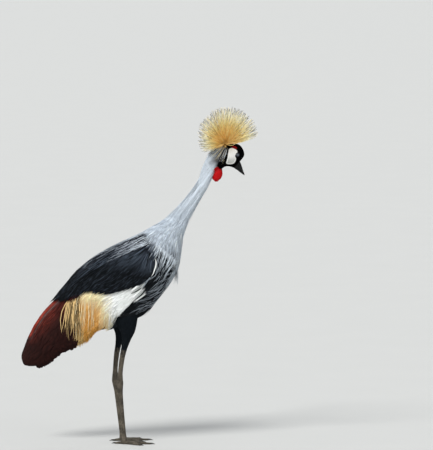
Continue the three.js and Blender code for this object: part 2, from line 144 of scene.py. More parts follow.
# Half widths of a feather's vane along its length
VANES = {
    "lance": ([0, 0.1, 0.3, 0.55, 0.8, 0.93, 1], [0.25, 0.6, 0.95, 1, 0.68, 0.32, 0.0]),
    "broad": ([0, 0.08, 0.25, 0.6, 0.85, 0.95, 1], [0.2, 0.55, 0.9, 1, 0.92, 0.6, 0.0]),
    "strand": ([0, 0.1, 0.3, 0.6, 0.85, 1], [0.5, 0.9, 1, 0.85, 0.45, 0.0]),
}
LINE_STEPS = 8  # steps in a feather's line
# Shares of the length where a vane's rings sit, with its root and tip
SHORT_STOPS = (0, 0.3, 0.65, 0.88, 1)
LANCE_STOPS = (0, 0.15, 0.4, 0.65, 0.87, 1)
FINE_STOPS = (0, 0.12, 0.35, 0.6, 0.84, 0.95, 1)
BROAD_STOPS = (0, 0.06, 0.2, 0.4, 0.6, 0.78, 0.9, 0.97, 1)
EVEN_STEPS = (0.7548776662466927, 0.5698402909980532)  # they place numbered feathers evenly over a surface
SEED_GAP = 977  # how far apart the numbers of two coats' feathers start
PAST_TIP = 8  # how far feathers may reach past the folded wings' tip
DROOP = 0.12  # how much a loose plume turns down at each step
PATCH = 0.003  # size of one feather or bristle in the unwrapped picture
VIEW_MIDDLE, VIEW_DISTANCE = np.array([0.2479, 0.0, 0.7008]), 12.0  # what the camera looks at and how far off
FLOOR_REACH = 150  # how far the floor goes on to each side, in metres


def srgb(*parts):
    """A colour of 0 to 255 parts as the light it stands for."""
    share = np.array(parts, float) / 255
    return np.where(share <= 0.04045, share / 12.92, ((share + 0.055) / 1.055) ** 2.4)


NECK_GREY = srgb(223, 232, 240)
PLUME_GREY = srgb(192, 202, 212)
SLATE = srgb(44, 48, 57)
STEEL = srgb(84, 94, 107)
COAL = srgb(11, 15, 19)
WHITE = srgb(250, 252, 249)
GOLD = srgb(238, 178, 94)
GOLD_PALE = srgb(255, 236, 190)
STRAW = srgb(222, 188, 130)
STRAW_LIGHT = srgb(255, 230, 162)
CHESTNUT_TOP = srgb(122, 42, 30)
MAROON = srgb(34, 12, 9)
VELVET = srgb(3, 3, 4)
CHEEK_WHITE = srgb(244, 243, 238)
# painted shade: the grey that the bare cheek's lower part is painted
CHEEK_SHADE_GREY = srgb(196, 196, 190)
NAPE_BROWN = srgb(84, 78, 76)
BLOOD_RED = srgb(174, 1, 7)
AMBER = srgb(255, 212, 130)
CREAM = srgb(255, 242, 206)
BRISTLE_TIP = srgb(34, 26, 20)
LEG_GREY = srgb(78, 72, 62)
THIGH = srgb(16, 22, 27)
LID_GREY = srgb(40, 40, 44)


def unit(v):
    return v / np.maximum(np.linalg.norm(v, axis=-1, keepdims=True), 1e-12)


def dot(a, b):
    return (a * b).sum(-1, keepdims=True)


def smooth(x, low=0.0, high=1.0):
    x = np.clip((np.asarray(x, float) - low) / (high - low), 0, 1)
    return x * x * (3 - 2 * x)


def mix(a, b, share):
    share = np.asarray(share, float)[..., None]
    return a * (1 - share) + b * share


def layered(colour, *layers):
    """A colour under further layers, each a colour and how much of it shows."""
    for tint, share in layers:
        colour = mix(colour, tint, share)
    return colour


def at(x, z, y=0.0):
    """A place of the outline's, in millimetres, in the frame's metres."""
    return np.array([x - ORIGIN_X, y, z]) * MM


def outline_of(spot):
    """x and z of places in the frame, in the outline's millimetres.

    The body's flanks stand nearer to the view, which looks down, so its markings lie higher there.
    """
    x, z = spot[..., 0] / MM + ORIGIN_X, spot[..., 2] / MM
    return x, z - math.tan(TILT) * np.abs(spot[..., 1]) / MM * (1 - smooth(z, NECK_FOOT, 740))


def height_of(spot):
    return outline_of(spot)[1]


def off_middle(spot):
    """How far places lie beside the plane of symmetry, in millimetres."""
    return np.abs(spot[..., 1]) / MM


def inside(x, z, outline):
    """How deep places seen from the side lie inside an outline, below 0 outside it."""
    near = np.full(np.shape(x), 1e9)
    crossings = np.zeros(np.shape(x), int)
    corners = np.array(outline, float)
    for (x1, z1), (x2, z2) in zip(corners, np.roll(corners, -1, 0)):
        long = max((x2 - x1) ** 2 + (z2 - z1) ** 2, 1e-9)
        share = np.clip(((x - x1) * (x2 - x1) + (z - z1) * (z2 - z1)) / long, 0, 1)
        near = np.minimum(near, np.hypot(x - x1 - share * (x2 - x1), z - z1 - share * (z2 - z1)))
        if z1 != z2:
            reach = x1 + (z - z1) * (x2 - x1) / (z2 - z1)
            crossings += ((z1 > z) != (z2 > z)) & (x < reach)
    return np.where(crossings % 2 == 1, near, -near)


def deep_in(spot, outline):
    """How deep places in the frame lie inside an outline, seen from the side."""
    return inside(*outline_of(spot), outline)


def ripple(spot, size, seed):
    """Smooth random waves of about the given size in metres, from -1 to 1."""
    rng = np.random.default_rng(seed)
    total = 0
    for _ in range(5):
        way = unit(rng.normal(size=3)) * (2 * math.pi / (size * rng.uniform(0.7, 1.5)))
        total = total + np.sin(spot @ way + rng.uniform(0, 2 * math.pi))
    return total / 3


def slope(before, here, after, first, second):
    """The way through the second of three points, by the gaps on either side of it."""
    return (here - before) / first - (after - before) / (first + second) + (after - here) / second


def curve(points, steps):
    """A smooth line through points, with the same number of steps between each two."""
    p = np.array(points, float)
    p = np.vstack([2 * p[0] - p[1], p, 2 * p[-1] - p[-2]])
    t = np.linspace(0, 1, steps, endpoint=False)[:, None]
    line = []
    for before, start, end, after in zip(p, p[1:], p[2:], p[3:]):
        first, middle, last = (
            max(np.linalg.norm(b - a), 1e-9) ** 0.5 for a, b in ((before, start), (start, end), (end, after))
        )
        leave = slope(before, start, end, first, middle) * middle
        arrive = slope(start, end, after, middle, last) * middle
        line.append(
            start + leave * t + (3 * (end - start) - 2 * leave - arrive) * t**2
            + (2 * (start - end) + leave + arrive) * t**3
        )
    return np.vstack([*line, p[-2]])


class Tube:
    """A closed surface along a line: u runs along it from 0 to 1 and turn goes round it from its back."""

    def __init__(self, centre, deep, wide, egg):
        self.rows = np.hstack([centre, deep, wide, np.reshape(egg, (-1, 1))])

    def section(self, u):
        x = np.clip(u, 0, 1) * (len(self.rows) - 1)
        low = np.minimum(x.astype(int), len(self.rows) - 2)
        share = (x - low)[:, None]
        row = self.rows[low] * (1 - share) + self.rows[low + 1] * share
        return row[:, 0:3], row[:, 3:6], row[:, 6:9], row[:, 9:]

    def at(self, u, turn):
        centre, deep, wide, egg = self.section(u)
        c, s = np.cos(turn)[:, None], np.sin(turn)[:, None]
        return centre + deep * c + wide * s * (1 + egg * c)

    def frame_at(self, u, turn):
        """The place, its change along u and along turn, and the way out."""
        du, dturn = 2e-3, 2e-2
        u = np.clip(u, 0, 1)
        ahead, behind = np.minimum(u + du, 1), np.maximum(u - du, 0)
        along = (self.at(ahead, turn) - self.at(behind, turn)) / (ahead - behind)[:, None]
        across = (self.at(u, turn + dturn) - self.at(u, turn - dturn)) / (2 * dturn)
        spot = self.at(u, turn)
        out = unit(np.cross(along, across))
        return spot, along, across, out * np.where(dot(out, spot - self.section(u)[0]) < 0, -1, 1)


def tube_through(stations, steps=16):
    s = np.array(stations, float)
    backs, fronts = curve(s[:, 0:2], steps), curve(s[:, 2:4], steps)
    girth = curve(s[:, 4:6] * [1, 100], steps)
    centre, deep, wide = (np.zeros((len(backs), 3)) for _ in range(3))
    centre[:, [0, 2]] = ((backs + fronts) / 2 - [ORIGIN_X, 0]) * MM
    deep[:, [0, 2]] = (backs - fronts) / 2 * MM
    wide[:, 1] = girth[:, 0] * MM
    return Tube(centre, deep, wide, girth[:, 1] / 100)


def limb(points, sizes, up, steps=16):
    """A tube along points with a half depth, towards up, and a half width at each, in metres."""
    path, girth = curve(points, steps), curve(sizes, steps)
    along = unit(np.gradient(path, axis=0))
    across = unit(np.cross(along, up))
    top = np.cross(across, along)
    return Tube(path, top * girth[:, :1], across * girth[:, 1:], np.zeros(len(path)))


def grid_of(first, second):
    """Each pair of two lists' values, as two long lists."""
    return (values.ravel() for values in np.meshgrid(first, second, indexing="ij"))


def seen_from(sign):
    """The hull's places on one side: u and turn of each, and a tree of their x and z to search."""
    u, turn = grid_of(np.linspace(0, 1, 500), sign * np.linspace(0.04, math.pi - 0.04, 180))
    tree = KDTree(len(u))
    for n, (x, z) in enumerate(np.stack(outline_of(hull.at(u, turn)), -1).tolist()):
        tree.insert((x, z, 0), n)
    tree.balance()
    return u, turn, tree


def on_hull(points, sign):
    """u and turn of the hull's places that lie at the outline's x and z, on one side."""
    u, turn, tree = sides_seen[sign]
    near = [tree.find((x, z, 0))[1] for x, z in points]
    return u[near], turn[near]


def stations_under_wings():
    """Stations of the space inside the wings' walls, which opens downwards towards the tail."""
    found = []
    for n, (bx, bz, fx, fz, wide, egg) in enumerate(HULL[BODY_START:HOLLOW_END + 1]):
        share = max(0.0, (n - 3) / 11)
        back, front = np.array([bx, bz], float), np.array([fx, fz], float)
        up = unit(back - front)
        back -= up * min(12 - 3 * share, 0.4 * wide)
        front -= up * (-10 + 70 * float(smooth(share, 0.15, 0.5)))
        found.append((*back, *front, max(2, wide - 19 + 6 * share), egg))
    return found


def leg_tube(side):
    top, foot, hip, ankle = STANCE[side]
    high, low = LEG[0][0], LEG[-1][0]
    points, sizes = [], []
    for z, x, deep, wide in LEG:
        share = (high - z) / (high - low)
        y = hip + (ankle - hip) * min(1, 1.6 * share)
        points.append(at(x + top + (foot - top) * share, z, y))
        sizes.append(((deep - LEG_SLACK) * MM, (wide - LEG_SLACK) * MM))
    return limb(points, sizes, (1, 0, 0))


def toe_start(side, name):
    """The place that a foot's toes spread from, and the way of one of them."""
    _, foot, _, ankle = STANCE[side]
    angle = math.radians(TOES[name][0]) * (-1 if side == "left" else 1)
    return at(LEG[-1][1] + foot, 0, ankle), np.array([math.cos(angle), math.sin(angle), 0])


def toe_tube(side, name):
    heel, way = toe_start(side, name)
    knuckles = [0, 0.16, 0.33, 0.5, 0.68, 0.86, 1]
    swell = [0, 0.2, 0.35, 0, 0.35, 0, 0.2]
    points, sizes = [], []
    for share, more in zip(knuckles, swell):
        high = 5.6 - 3.0 * share
        points.append(heel + way * share * TOES[name][1] * MM + np.array([0, 0, high * MM]))
        half = 6.0 - 3.1 * share**0.8 + more - TOE_SLACK
        sizes.append((half * 0.95 * MM, half * 1.05 * MM))
    return limb(points, sizes, (0, 0, 1), steps=8)


cheek_line = curve([*CHEEK, CHEEK[0]], 4)
hull = tube_through(HULL)
sides_seen = {sign: seen_from(sign) for sign in (-1, 1)}
under = stations_under_wings()
hollow = tube_through(under)
rump = tube_through([(*s[:4], s[4] - 2, s[5]) for s in under[:TRUNK_STATIONS] + RUMP])
legs = {side: leg_tube(side) for side in STANCE}


# Meshes

def new_mesh(name, places, corners, starts, flat=None):
    mesh = bpy.data.meshes.new(name)
    mesh.vertices.add(len(places))
    mesh.vertices.foreach_set("co", np.asarray(places, np.float32).ravel())
    mesh.loops.add(len(corners))
    mesh.polygons.add(len(starts))
    mesh.loops.foreach_set("vertex_index", np.asarray(corners, np.int32))
    mesh.polygons.foreach_set("loop_start", np.asarray(starts, np.int32))
    if flat is not None:
        mesh.attributes.new("sharp_face", "BOOLEAN", "FACE").data.foreach_set("value", flat)
    mesh.update(calc_edges=True)
    return mesh


def new_object(name, data):
    thing = bpy.data.objects.new(name, data)
    bpy.context.scene.collection.objects.link(thing)
    return thing


def evaluated(thing):
    """The object with a plain mesh of what its modifiers make."""
    bpy.context.view_layer.update()
    made = bpy.data.meshes.new_from_object(thing.evaluated_get(bpy.context.evaluated_depsgraph_get()))
    thing.modifiers.clear()
    thing.data = made
    made.shade_smooth()
    return thing


def positions(mesh):
    co = np.empty(len(mesh.vertices) * 3, np.float32)
    mesh.vertices.foreach_get("co", co)
    return co.reshape(-1, 3).astype(float)


def starts_of(sizes):
    """Where each face's corners start in one long list, by the faces' sizes."""
    return np.concatenate([[0], np.cumsum(sizes)[:-1]])


def ring_faces(count, sides, closed=False):
    """Corners of the faces between rings of points; closed joins the last ring to the first too."""
    ring, side = np.meshgrid(np.arange(count if closed else count - 1), np.arange(sides), indexing="ij")
    here, beyond, after = ring * sides, (ring + 1) % count * sides, (side + 1) % sides
    return np.stack([here + side, here + after, beyond + after, beyond + side], -1).reshape(-1, 4)


def faces_in(places, quads, middle):
    """True if the four-sided faces look towards the middle."""
    a, b, c, d = (places[quads[:, n]] - middle for n in range(4))
    return (a * np.cross(b, c)).sum() + (a * np.cross(c, d)).sum() < 0


def lofted(rings):
    """Places, corners and face starts of a closed surface over rings of points, shaped (rings, sides, 3)."""
    count, sides = rings.shape[:2]
    places = np.vstack([rings.reshape(-1, 3), rings[0].mean(0), rings[-1].mean(0)])
    quads = ring_faces(count, sides)
    around, after = np.arange(sides), (np.arange(sides) + 1) % sides
    first, last = (np.full(sides, count * sides + n) for n in (0, 1))
    last_ring = (count - 1) * sides
    faces = [quads, np.stack([first, after, around], -1),
             np.stack([last_ring + around, last_ring + after, last], -1)]
    if faces_in(places, quads, places.mean(0)):
        faces = [face[:, ::-1] for face in faces]
    sizes = np.concatenate([np.full(len(quads), 4), np.full(2 * sides, 3)])
    return places, np.concatenate([face.ravel() for face in faces]), starts_of(sizes)


def rings_of(tube, us, sides, shape=None):
    """Rings of points on a tube; shape(spot, out, u, turn) moves them."""
    uu, tt = grid_of(us, np.linspace(-math.pi, math.pi, sides, endpoint=False))
    spot, _, _, out = tube.frame_at(uu, tt)
    if shape is not None:
        spot = shape(spot, out, uu, tt)
    return spot.reshape(len(us), sides, 3)


def body_of_rings(name, rings):
    return new_object(name, new_mesh(name, *lofted(rings)))


def spaced(tube, gap, start=0.0, end=1.0):
    """Values of u whose rings lie about gap apart, a number or a function of u."""
    u = np.linspace(start, end, 3000)
    middle = tube.section(u)[0]
    steps = np.linalg.norm(np.diff(middle, axis=0), axis=1) / (gap(u[1:]) if callable(gap) else gap)
    far = np.concatenate([[0], np.cumsum(steps)])
    return np.interp(np.linspace(0, far[-1], int(far[-1]) + 2), far, u)


def prism(name, outline, half=0.4):
    """A block whose side view is the outline."""
    return body_of_rings(name, np.stack([[at(x, z, y / MM) for x, z in outline] for y in (-half, half)]))


def combined(base, others, how):
    """The closed base object with others joined on, cut out or kept in common; only the result stays."""
    for other in others:
        step = base.modifiers.new(how, "BOOLEAN")
        step.operation, step.object, step.solver = how, other, "MANIFOLD"
    evaluated(base)
    for other in others:
        bpy.data.objects.remove(other)
    return base


def set_tone(mesh, colours):
    filled = np.ones((len(mesh.vertices), 4), np.float32)
    filled[:, :3] = np.clip(colours, 0, 1)
    mesh.color_attributes.new("tone", "FLOAT_COLOR", "POINT").data.foreach_set("color", filled.ravel())


def set_map(mesh, label, values):
    mesh.uv_layers.new(name=label).data.foreach_set("uv", values.astype(np.float32).ravel())


def spread(place):
    """Places spread over the whole unwrapped picture, inside a narrow border."""
    return 0.004 + 0.992 * (place - place.min(0)) / np.maximum(np.ptp(place, 0), 1e-9)


def corners_of(mesh):
    """The vertex of each face's corners in turn; maps that the nodes left are removed."""
    for layer in list(mesh.uv_layers):
        mesh.uv_layers.remove(layer)
    corner = np.empty(len(mesh.loops), np.int32)
    mesh.loops.foreach_get("vertex_index", corner)
    return corner


def part_of_crane(piece, slot, finish, *nodes):
    """The piece with its finish, on the crane's body and in place of the nodes."""
    piece.data.materials.clear()
    piece.data.materials.append(finish)
    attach(piece, "root")
    if nodes:
        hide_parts(*nodes)
    return piece


# Skin

def coat_depth(u):
    """How far the skin lies under the plumage's outline, in metres."""
    stations, depths = [0, 0.5, 3.5, 5.5, 8, 10, 19, 22, 23], [0.4, 1.3, 1.4, 3, 4.5, 7, 7, 5, 4]
    return np.interp(u * LAST, stations, depths) * MM


def cheek_relief(spot):
    edge = deep_in(spot, cheek_line) + 0.35 * ripple(spot, 0.006, 30)
    return smooth(edge, -0.8, 0.8) * smooth(off_middle(spot), 6, 9)


def from_eye(spot):
    """How far places lie from the middle of the nearer eye, in millimetres."""
    x, z = outline_of(spot)
    ex, ez = EYE["at"]
    return np.sqrt((x - ex) ** 2 + (z - ez) ** 2 + (off_middle(spot) - EYE["side"]) ** 2)


def skin_shape(spot, out, u, turn):
    relief = cheek_relief(spot)
    folds = 0.12 * ripple(spot, 0.004, 3) + 0.1 * ripple(spot, 0.0022, 4)
    ring = from_eye(spot)
    lidded = 0.3 * np.cos(ring * 2.4) * smooth(-ring, -12, -8) + 0.9 * smooth(-ring, -10.5, -7)
    proud = np.maximum(relief * (0.9 + folds), lidded) * MM
    return spot + out * (proud - coat_depth(u))[:, None]


def rump_shape(spot, out, u, turn):
    return spot - out * 4 * MM


def wattle_shape(spot, out, u, turn):
    folds = 0.5 * np.sin(turn * 9 + 2.0 * ripple(spot, 0.02, 8)) * smooth(u, 0.05, 0.3)
    return spot + out * ((folds + 0.35 * ripple(spot, 0.005, 9) - 0.6) * MM)[:, None]


def leg_shape(spot, out, u, turn):
    feathered = smooth(spot[:, 2] / MM, 296, 330)
    cells = 0.16 * ripple(spot, 0.004, 11)
    spot = spot + out * ((cells * (1 - feathered) - feathered * 2.6) * MM)[:, None]
    spot[:, 2] = np.maximum(spot[:, 2], 0.0002)
    return spot


def toe_shape(spot, out, u, turn):
    spot = spot + out * (0.12 * ripple(spot, 0.0035, 12) * MM)[:, None]
    spot[:, 2] = np.maximum(spot[:, 2], 0.0)
    return spot


def body_gap(u):
    return np.interp(u * LAST, [0, 4, 6, 9, 23], [0.95, 1.0, 2.2, 3.6, 4.2]) * MM


def leg_gap(u):
    return np.interp(u, [0, 0.33, 0.4, 1], [6, 4, 1.9, 1.7]) * MM


def eye_frame(sign):
    """Centre of an eye, the way it looks, the way to the bill's tip and the way up from it."""
    look = unit(np.array([0.14, sign, -0.04]))
    bill_way = np.array([0.62, 0, -0.78])
    bill_way = unit(bill_way - look * bill_way.dot(look))
    return at(*EYE["at"], sign * EYE["side"]), look, bill_way, np.cross(look, bill_way) * sign


def ball_rings(centre, axes, count=24, sides=36):
    """Rings of a ball whose three half axes are the given vectors; the first is its pole."""
    height = np.linspace(0, math.pi, count + 2)[1:-1, None, None]
    turn = np.linspace(0, 2 * math.pi, sides, endpoint=False)[None, :, None]
    pole, first, second = axes
    return centre + pole * np.cos(height) + np.sin(height) * (first * np.cos(turn) + second * np.sin(turn))


def lid_ring(sign):
    centre, look, bill_way, up = eye_frame(sign)
    turn = np.linspace(0, 2 * math.pi, 72, endpoint=False)
    long, high, thick = 5.0 * MM, 4.1 * MM, 1.0 * MM
    middle = centre + np.outer(np.cos(turn) * long, bill_way) + np.outer(np.sin(turn) * high, up)
    middle = middle + look * (2.9 * MM)
    outwards = unit(middle - centre - look * (3.1 * MM))
    around = np.linspace(0, 2 * math.pi, 14, endpoint=False)
    rings = (
        middle[:, None] + outwards[:, None] * (np.cos(around) * thick * 1.2)[None, :, None]
        + look * (np.sin(around) * thick)[None, :, None]
    )
    places, quads = rings.reshape(-1, 3), ring_faces(*rings.shape[:2], closed=True)
    if faces_in(places, quads, centre):
        quads = quads[:, ::-1]
    return new_object("lid", new_mesh("lid", places, quads.ravel(), np.arange(0, quads.size, 4)))


def make_skin():
    body = body_of_rings("skin", rings_of(hull, spaced(hull, body_gap), 150, skin_shape))
    cavity = body_of_rings("hollow", rings_of(hollow, spaced(hollow, 8 * MM), 72))
    body = combined(body, [combined(cavity, [prism("under wing", WING)], "INTERSECT")], "DIFFERENCE")
    wattle = limb([at(x, z) for x, z, _, _ in WATTLE], [(d * MM, w * MM) for _, _, d, w in WATTLE], (1, 0, 0))
    grown = [("rump", rump, spaced(rump, 7 * MM), 64, rump_shape),
             ("wattle", wattle, spaced(wattle, 0.9 * MM), 56, wattle_shape)]
    for side, leg in legs.items():
        grown.append(("leg", leg, spaced(leg, leg_gap, 0.05), 26, leg_shape))
        for toe in (toe_tube(side, name) for name in TOES):
            grown.append(("toe", toe, spaced(toe, 1.6 * MM), 18, toe_shape))
    grown = [body_of_rings(name, rings_of(*rest)) for name, *rest in grown]
    body = combined(body, grown + [lid_ring(sign) for sign in (-1, 1)], "UNION")
    sockets = []
    for sign in (-1, 1):
        centre, *ways = eye_frame(sign)
        radius = (EYE["radius"] + EYE_SLACK) * MM
        sockets.append(body_of_rings("socket", ball_rings(centre, [way * radius for way in ways])))
    return combined(body, sockets, "DIFFERENCE")


def over_back_line(spot):
    x, z = outline_of(spot)
    return z >= BACK_LINE[0] * x + BACK_LINE[1]


def in_wing(spot):
    return deep_in(spot, WING) > 0


def in_panel(spot):
    return (deep_in(spot, PANEL) > 0) & (deep_in(spot, WING) > -PAST_WING)


def in_chestnut(spot):
    return (deep_in(spot, CHESTNUT) > 0) & ~in_panel(spot)


def plume_tone(spot):
    """White coverts that run over gold into straw, towards the back."""
    x, z = outline_of(spot)
    streak = ripple(spot * [1, 0, 0.1] + [0, 0, 1], 0.006, 41)
    x = x + 11 * streak - 0.22 * np.maximum(0, 470 - z)
    low = 0.1 + 0.9 * smooth(-z, -468, -426)
    colour = layered(
        WHITE, (GOLD_PALE, smooth(-x, 16, 66)),
        (GOLD, smooth(-x, 40, 96) * low * smooth(x, -158, -128)), (STRAW, smooth(-x, 132, 160)),
        (GOLD_PALE, 0.5 * smooth(streak, 0.2, 1.0) * smooth(-x, 80, 110)),
    )
    return mix(colour, colour * [0.72, 0.66, 0.5], smooth(-z, -410, -330) * smooth(-x, 50, 100))


def secondary_tone(spot):
    """Maroon with thin red lines, a red upper edge and a pale line along it."""
    x, z = outline_of(spot)
    edge = inside(x, z, RED_EDGE + RED_EDGE[-2:0:-1])
    high = smooth(z, 290, 420)
    wave = np.sin(-edge * 1.1 + 2 * ripple(spot, 0.08, 43))
    lines = 0.6 * smooth(wave, 0.3, 1.0) * smooth(edge, -64, -8) * high
    red = smooth(edge, -9, -4) + lines + 0.16 * smooth(edge, -80, -12) * high
    pale = 0.35 * np.exp(-((-edge - 12) / 2.2) ** 2) * high
    return layered(MAROON, (CHESTNUT_TOP, np.clip(red, 0, 1)), (NAPE_BROWN * 2, pale))


def body_colour(spot):
    """The markings by place, for the skin and as the ground of the coat's colours."""
    x, z = outline_of(spot)
    wave = ripple(spot, 0.03, 21)
    pale, wing, face = (inside(x, z, outline) for outline in (PALE, WING, FACE))
    near = face + 4 * wave
    return layered(
        STEEL * 0.6, (COAL, smooth(-pale, 6, 60)),
        (PLUME_GREY, smooth(pale + 8 * wave, -12, np.where(over_back_line(spot), 10, 24))),
        (NECK_GREY, smooth(z, 700, 800)),
        (NAPE_BROWN, 0.9 * smooth(near, -40, -6) * smooth(z, 880, 912)),
        (COAL * 1.5, 0.85 * smooth(near, -16, 0) * smooth(z, 876, 894)),
        (COAL, smooth(wing + 3 * wave, 0, 14) * (wing > 0)),
        (plume_tone(spot), in_panel(spot)), (secondary_tone(spot), inside(x, z, CHESTNUT) > 0),
        (THIGH, smooth(-z, -400, -360) * (x > LEGS_FROM) * (off_middle(spot) > 10)),
        (LEG_GREY, smooth(-z, -322, -306) * (x > LEGS_FROM)),
        (VELVET, smooth(face, -1, 1.5) * (z > FACE_FOOT)),
    )


def skin_colour(spot):
    x, z = outline_of(spot)
    side = off_middle(spot)
    # the bare cheek is white, painted grey over its lower part inside a white rim as painted shade
    bare = mix(CHEEK_WHITE, CHEEK_SHADE_GREY, smooth(-z, -926, -906) * smooth(inside(x, z, CHEEK), 1.0, 4.0))
    blotch = 1 + 0.35 * ripple(spot, 0.03, 33) + 0.2 * ripple(spot, 0.008, 34)
    return layered(
        # the skin under the plumage takes the plumage's colours, painted a little darker as painted shade
        # between the feathers
        body_colour(spot) * 0.9, (bare * (1 + 0.05 * ripple(spot, 0.005, 31))[..., None], cheek_relief(spot)),
        (BLOOD_RED * 0.6, smooth(inside(x, z, RED_BROW), -0.5, 1) * smooth(side, 5, 8)),
        (BLOOD_RED * (1 + 0.18 * ripple(spot, 0.008, 32))[..., None],
         smooth(inside(x, z, THROAT_RED), -1, 1) * (side < 12)),
        (LID_GREY, smooth(-from_eye(spot), -8.2, -7.2)),
        (LEG_GREY * blotch[..., None], smooth(-z, -318, -300) * (x > LEGS_FROM)),
    )


# Coat

def scatter(tube, count, span, seed, jitter=0.35):
    """Even places on a tube, as u and turn."""
    u = np.linspace(*span, 260)
    turn = np.linspace(-math.pi, math.pi, 97)
    _, along, across, _ = tube.frame_at(*grid_of(u, turn))
    area = np.linalg.norm(np.cross(along, across), axis=1).reshape(len(u), len(turn))
    rows = np.concatenate([[0], np.cumsum((area[1:] + area[:-1]).sum(1))])
    n = np.arange(count) + 0.5 + SEED_GAP * seed
    place = np.interp((n * EVEN_STEPS[0]) % 1 * rows[-1], rows, u)
    row = area[np.clip(np.searchsorted(u, place) - 1, 0, len(u) - 2)]
    sums = np.cumsum((row[:, 1:] + row[:, :-1]) / 2, axis=1)
    goal = (n * EVEN_STEPS[1]) % 1 * sums[:, -1]
    cell = (sums < goal[:, None]).sum(1)
    start = np.where(cell > 0, sums[np.arange(count), np.maximum(cell - 1, 0)], 0)
    share = (goal - start) / (sums[np.arange(count), cell] - start)
    round_to = turn[cell] + share * (turn[1] - turn[0])
    rng = np.random.default_rng(seed)
    _, along, across, _ = tube.frame_at(place, round_to)
    gap = (area.mean() * (span[1] - span[0]) * 2 * math.pi / count) ** 0.5
    place = place + rng.normal(size=count) * jitter * gap / np.linalg.norm(along, axis=1)
    round_to = round_to + rng.normal(size=count) * jitter * gap / np.linalg.norm(across, axis=1)
    return np.clip(place, *span), round_to


def lie_of_coat(spot, along):
    """The way the plumage points: along the neck, and by the guides on the body."""
    x, z = outline_of(spot)
    guides = np.array(LIE)
    far = (x[:, None] - guides[:, 0]) ** 2 + (z[:, None] - guides[:, 1]) ** 2
    weight = 1 / (far + 100) ** 1.6
    side = weight @ guides[:, 2:4] / weight.sum(1, keepdims=True)
    way = unit(np.stack([side[:, 0], np.zeros(len(x)), side[:, 1]], -1))
    return mix(unit(along), way, 1 - smooth(z, NECK_FOOT, 700))


def along_tube(spot, along):
    return unit(along)


def lay(tube, u, turn, long, way, steps, swerve, leave, hang):
    """Lines on a tube from (u, turn): their places and ways out, shaped (count, steps + 1, 3).

    Where leave(spot, out, u) is true, a line goes on freely and hangs down, by hang of its length.
    """
    stride = (long / steps)[:, None]
    loose = np.zeros(len(u), bool)
    spots, outs = [], []
    for n in range(steps + 1):
        spot, along, across, out = tube.frame_at(u, turn)
        if n:
            spot = np.where(loose[:, None], spots[-1] + heading * stride * hang, spot)
            out = np.where(loose[:, None], outs[-1], out)
        spots.append(spot)
        outs.append(out)
        goal = way(spot, along)
        goal = unit(goal - out * dot(goal, out))
        angle = swerve(spot)[:, None]
        goal = goal * np.cos(angle) + np.cross(out, goal) * np.sin(angle)
        heading = goal if n == 0 else np.where(loose[:, None], unit(heading + [0, 0, -DROOP]), goal)
        if leave is not None:
            loose |= leave(spot, out, u)
        a, b, c = dot(along, along), dot(along, across), dot(across, across)
        p, q = dot(goal, along), dot(goal, across)
        det = np.maximum(a * c - b * b, 1e-12)
        u = np.clip(u + ((p * c - q * b) / det * stride)[:, 0], 0, 1)
        turn = turn + np.clip(((q * a - p * b) / det * stride)[:, 0], -0.5, 0.5)
    return np.stack(spots, 1), np.stack(outs, 1)


def vane_faces(rings, across):
    """A vane's corners, face sizes and which are flat. The first point is its root, the last its tip."""
    grid = 1 + np.arange(rings * across).reshape(rings, across)
    tip = rings * across + 1
    top = np.stack([grid[:-1, :-1], grid[:-1, 1:], grid[1:, 1:], grid[1:, :-1]], -1).reshape(-1, 4)
    bottom = np.stack([grid[:-1, 0], grid[1:, 0], grid[1:, -1], grid[:-1, -1]], -1)
    ends = [(0, b, a) for a, b in zip(grid[0], grid[0][1:])]
    ends += [(a, b, tip) for a, b in zip(grid[-1], grid[-1][1:])]
    ends = np.array(ends + [(0, grid[0, 0], grid[0, -1]), (grid[-1, 0], tip, grid[-1, -1])])
    sizes = np.repeat([4, 3], [len(top) + len(bottom), len(ends)])
    flat = np.repeat([False, True, False, True], [len(top), len(bottom), len(ends) - 2, 2])
    return np.concatenate([top.ravel(), bottom.ravel(), ends.ravel()]), sizes, flat


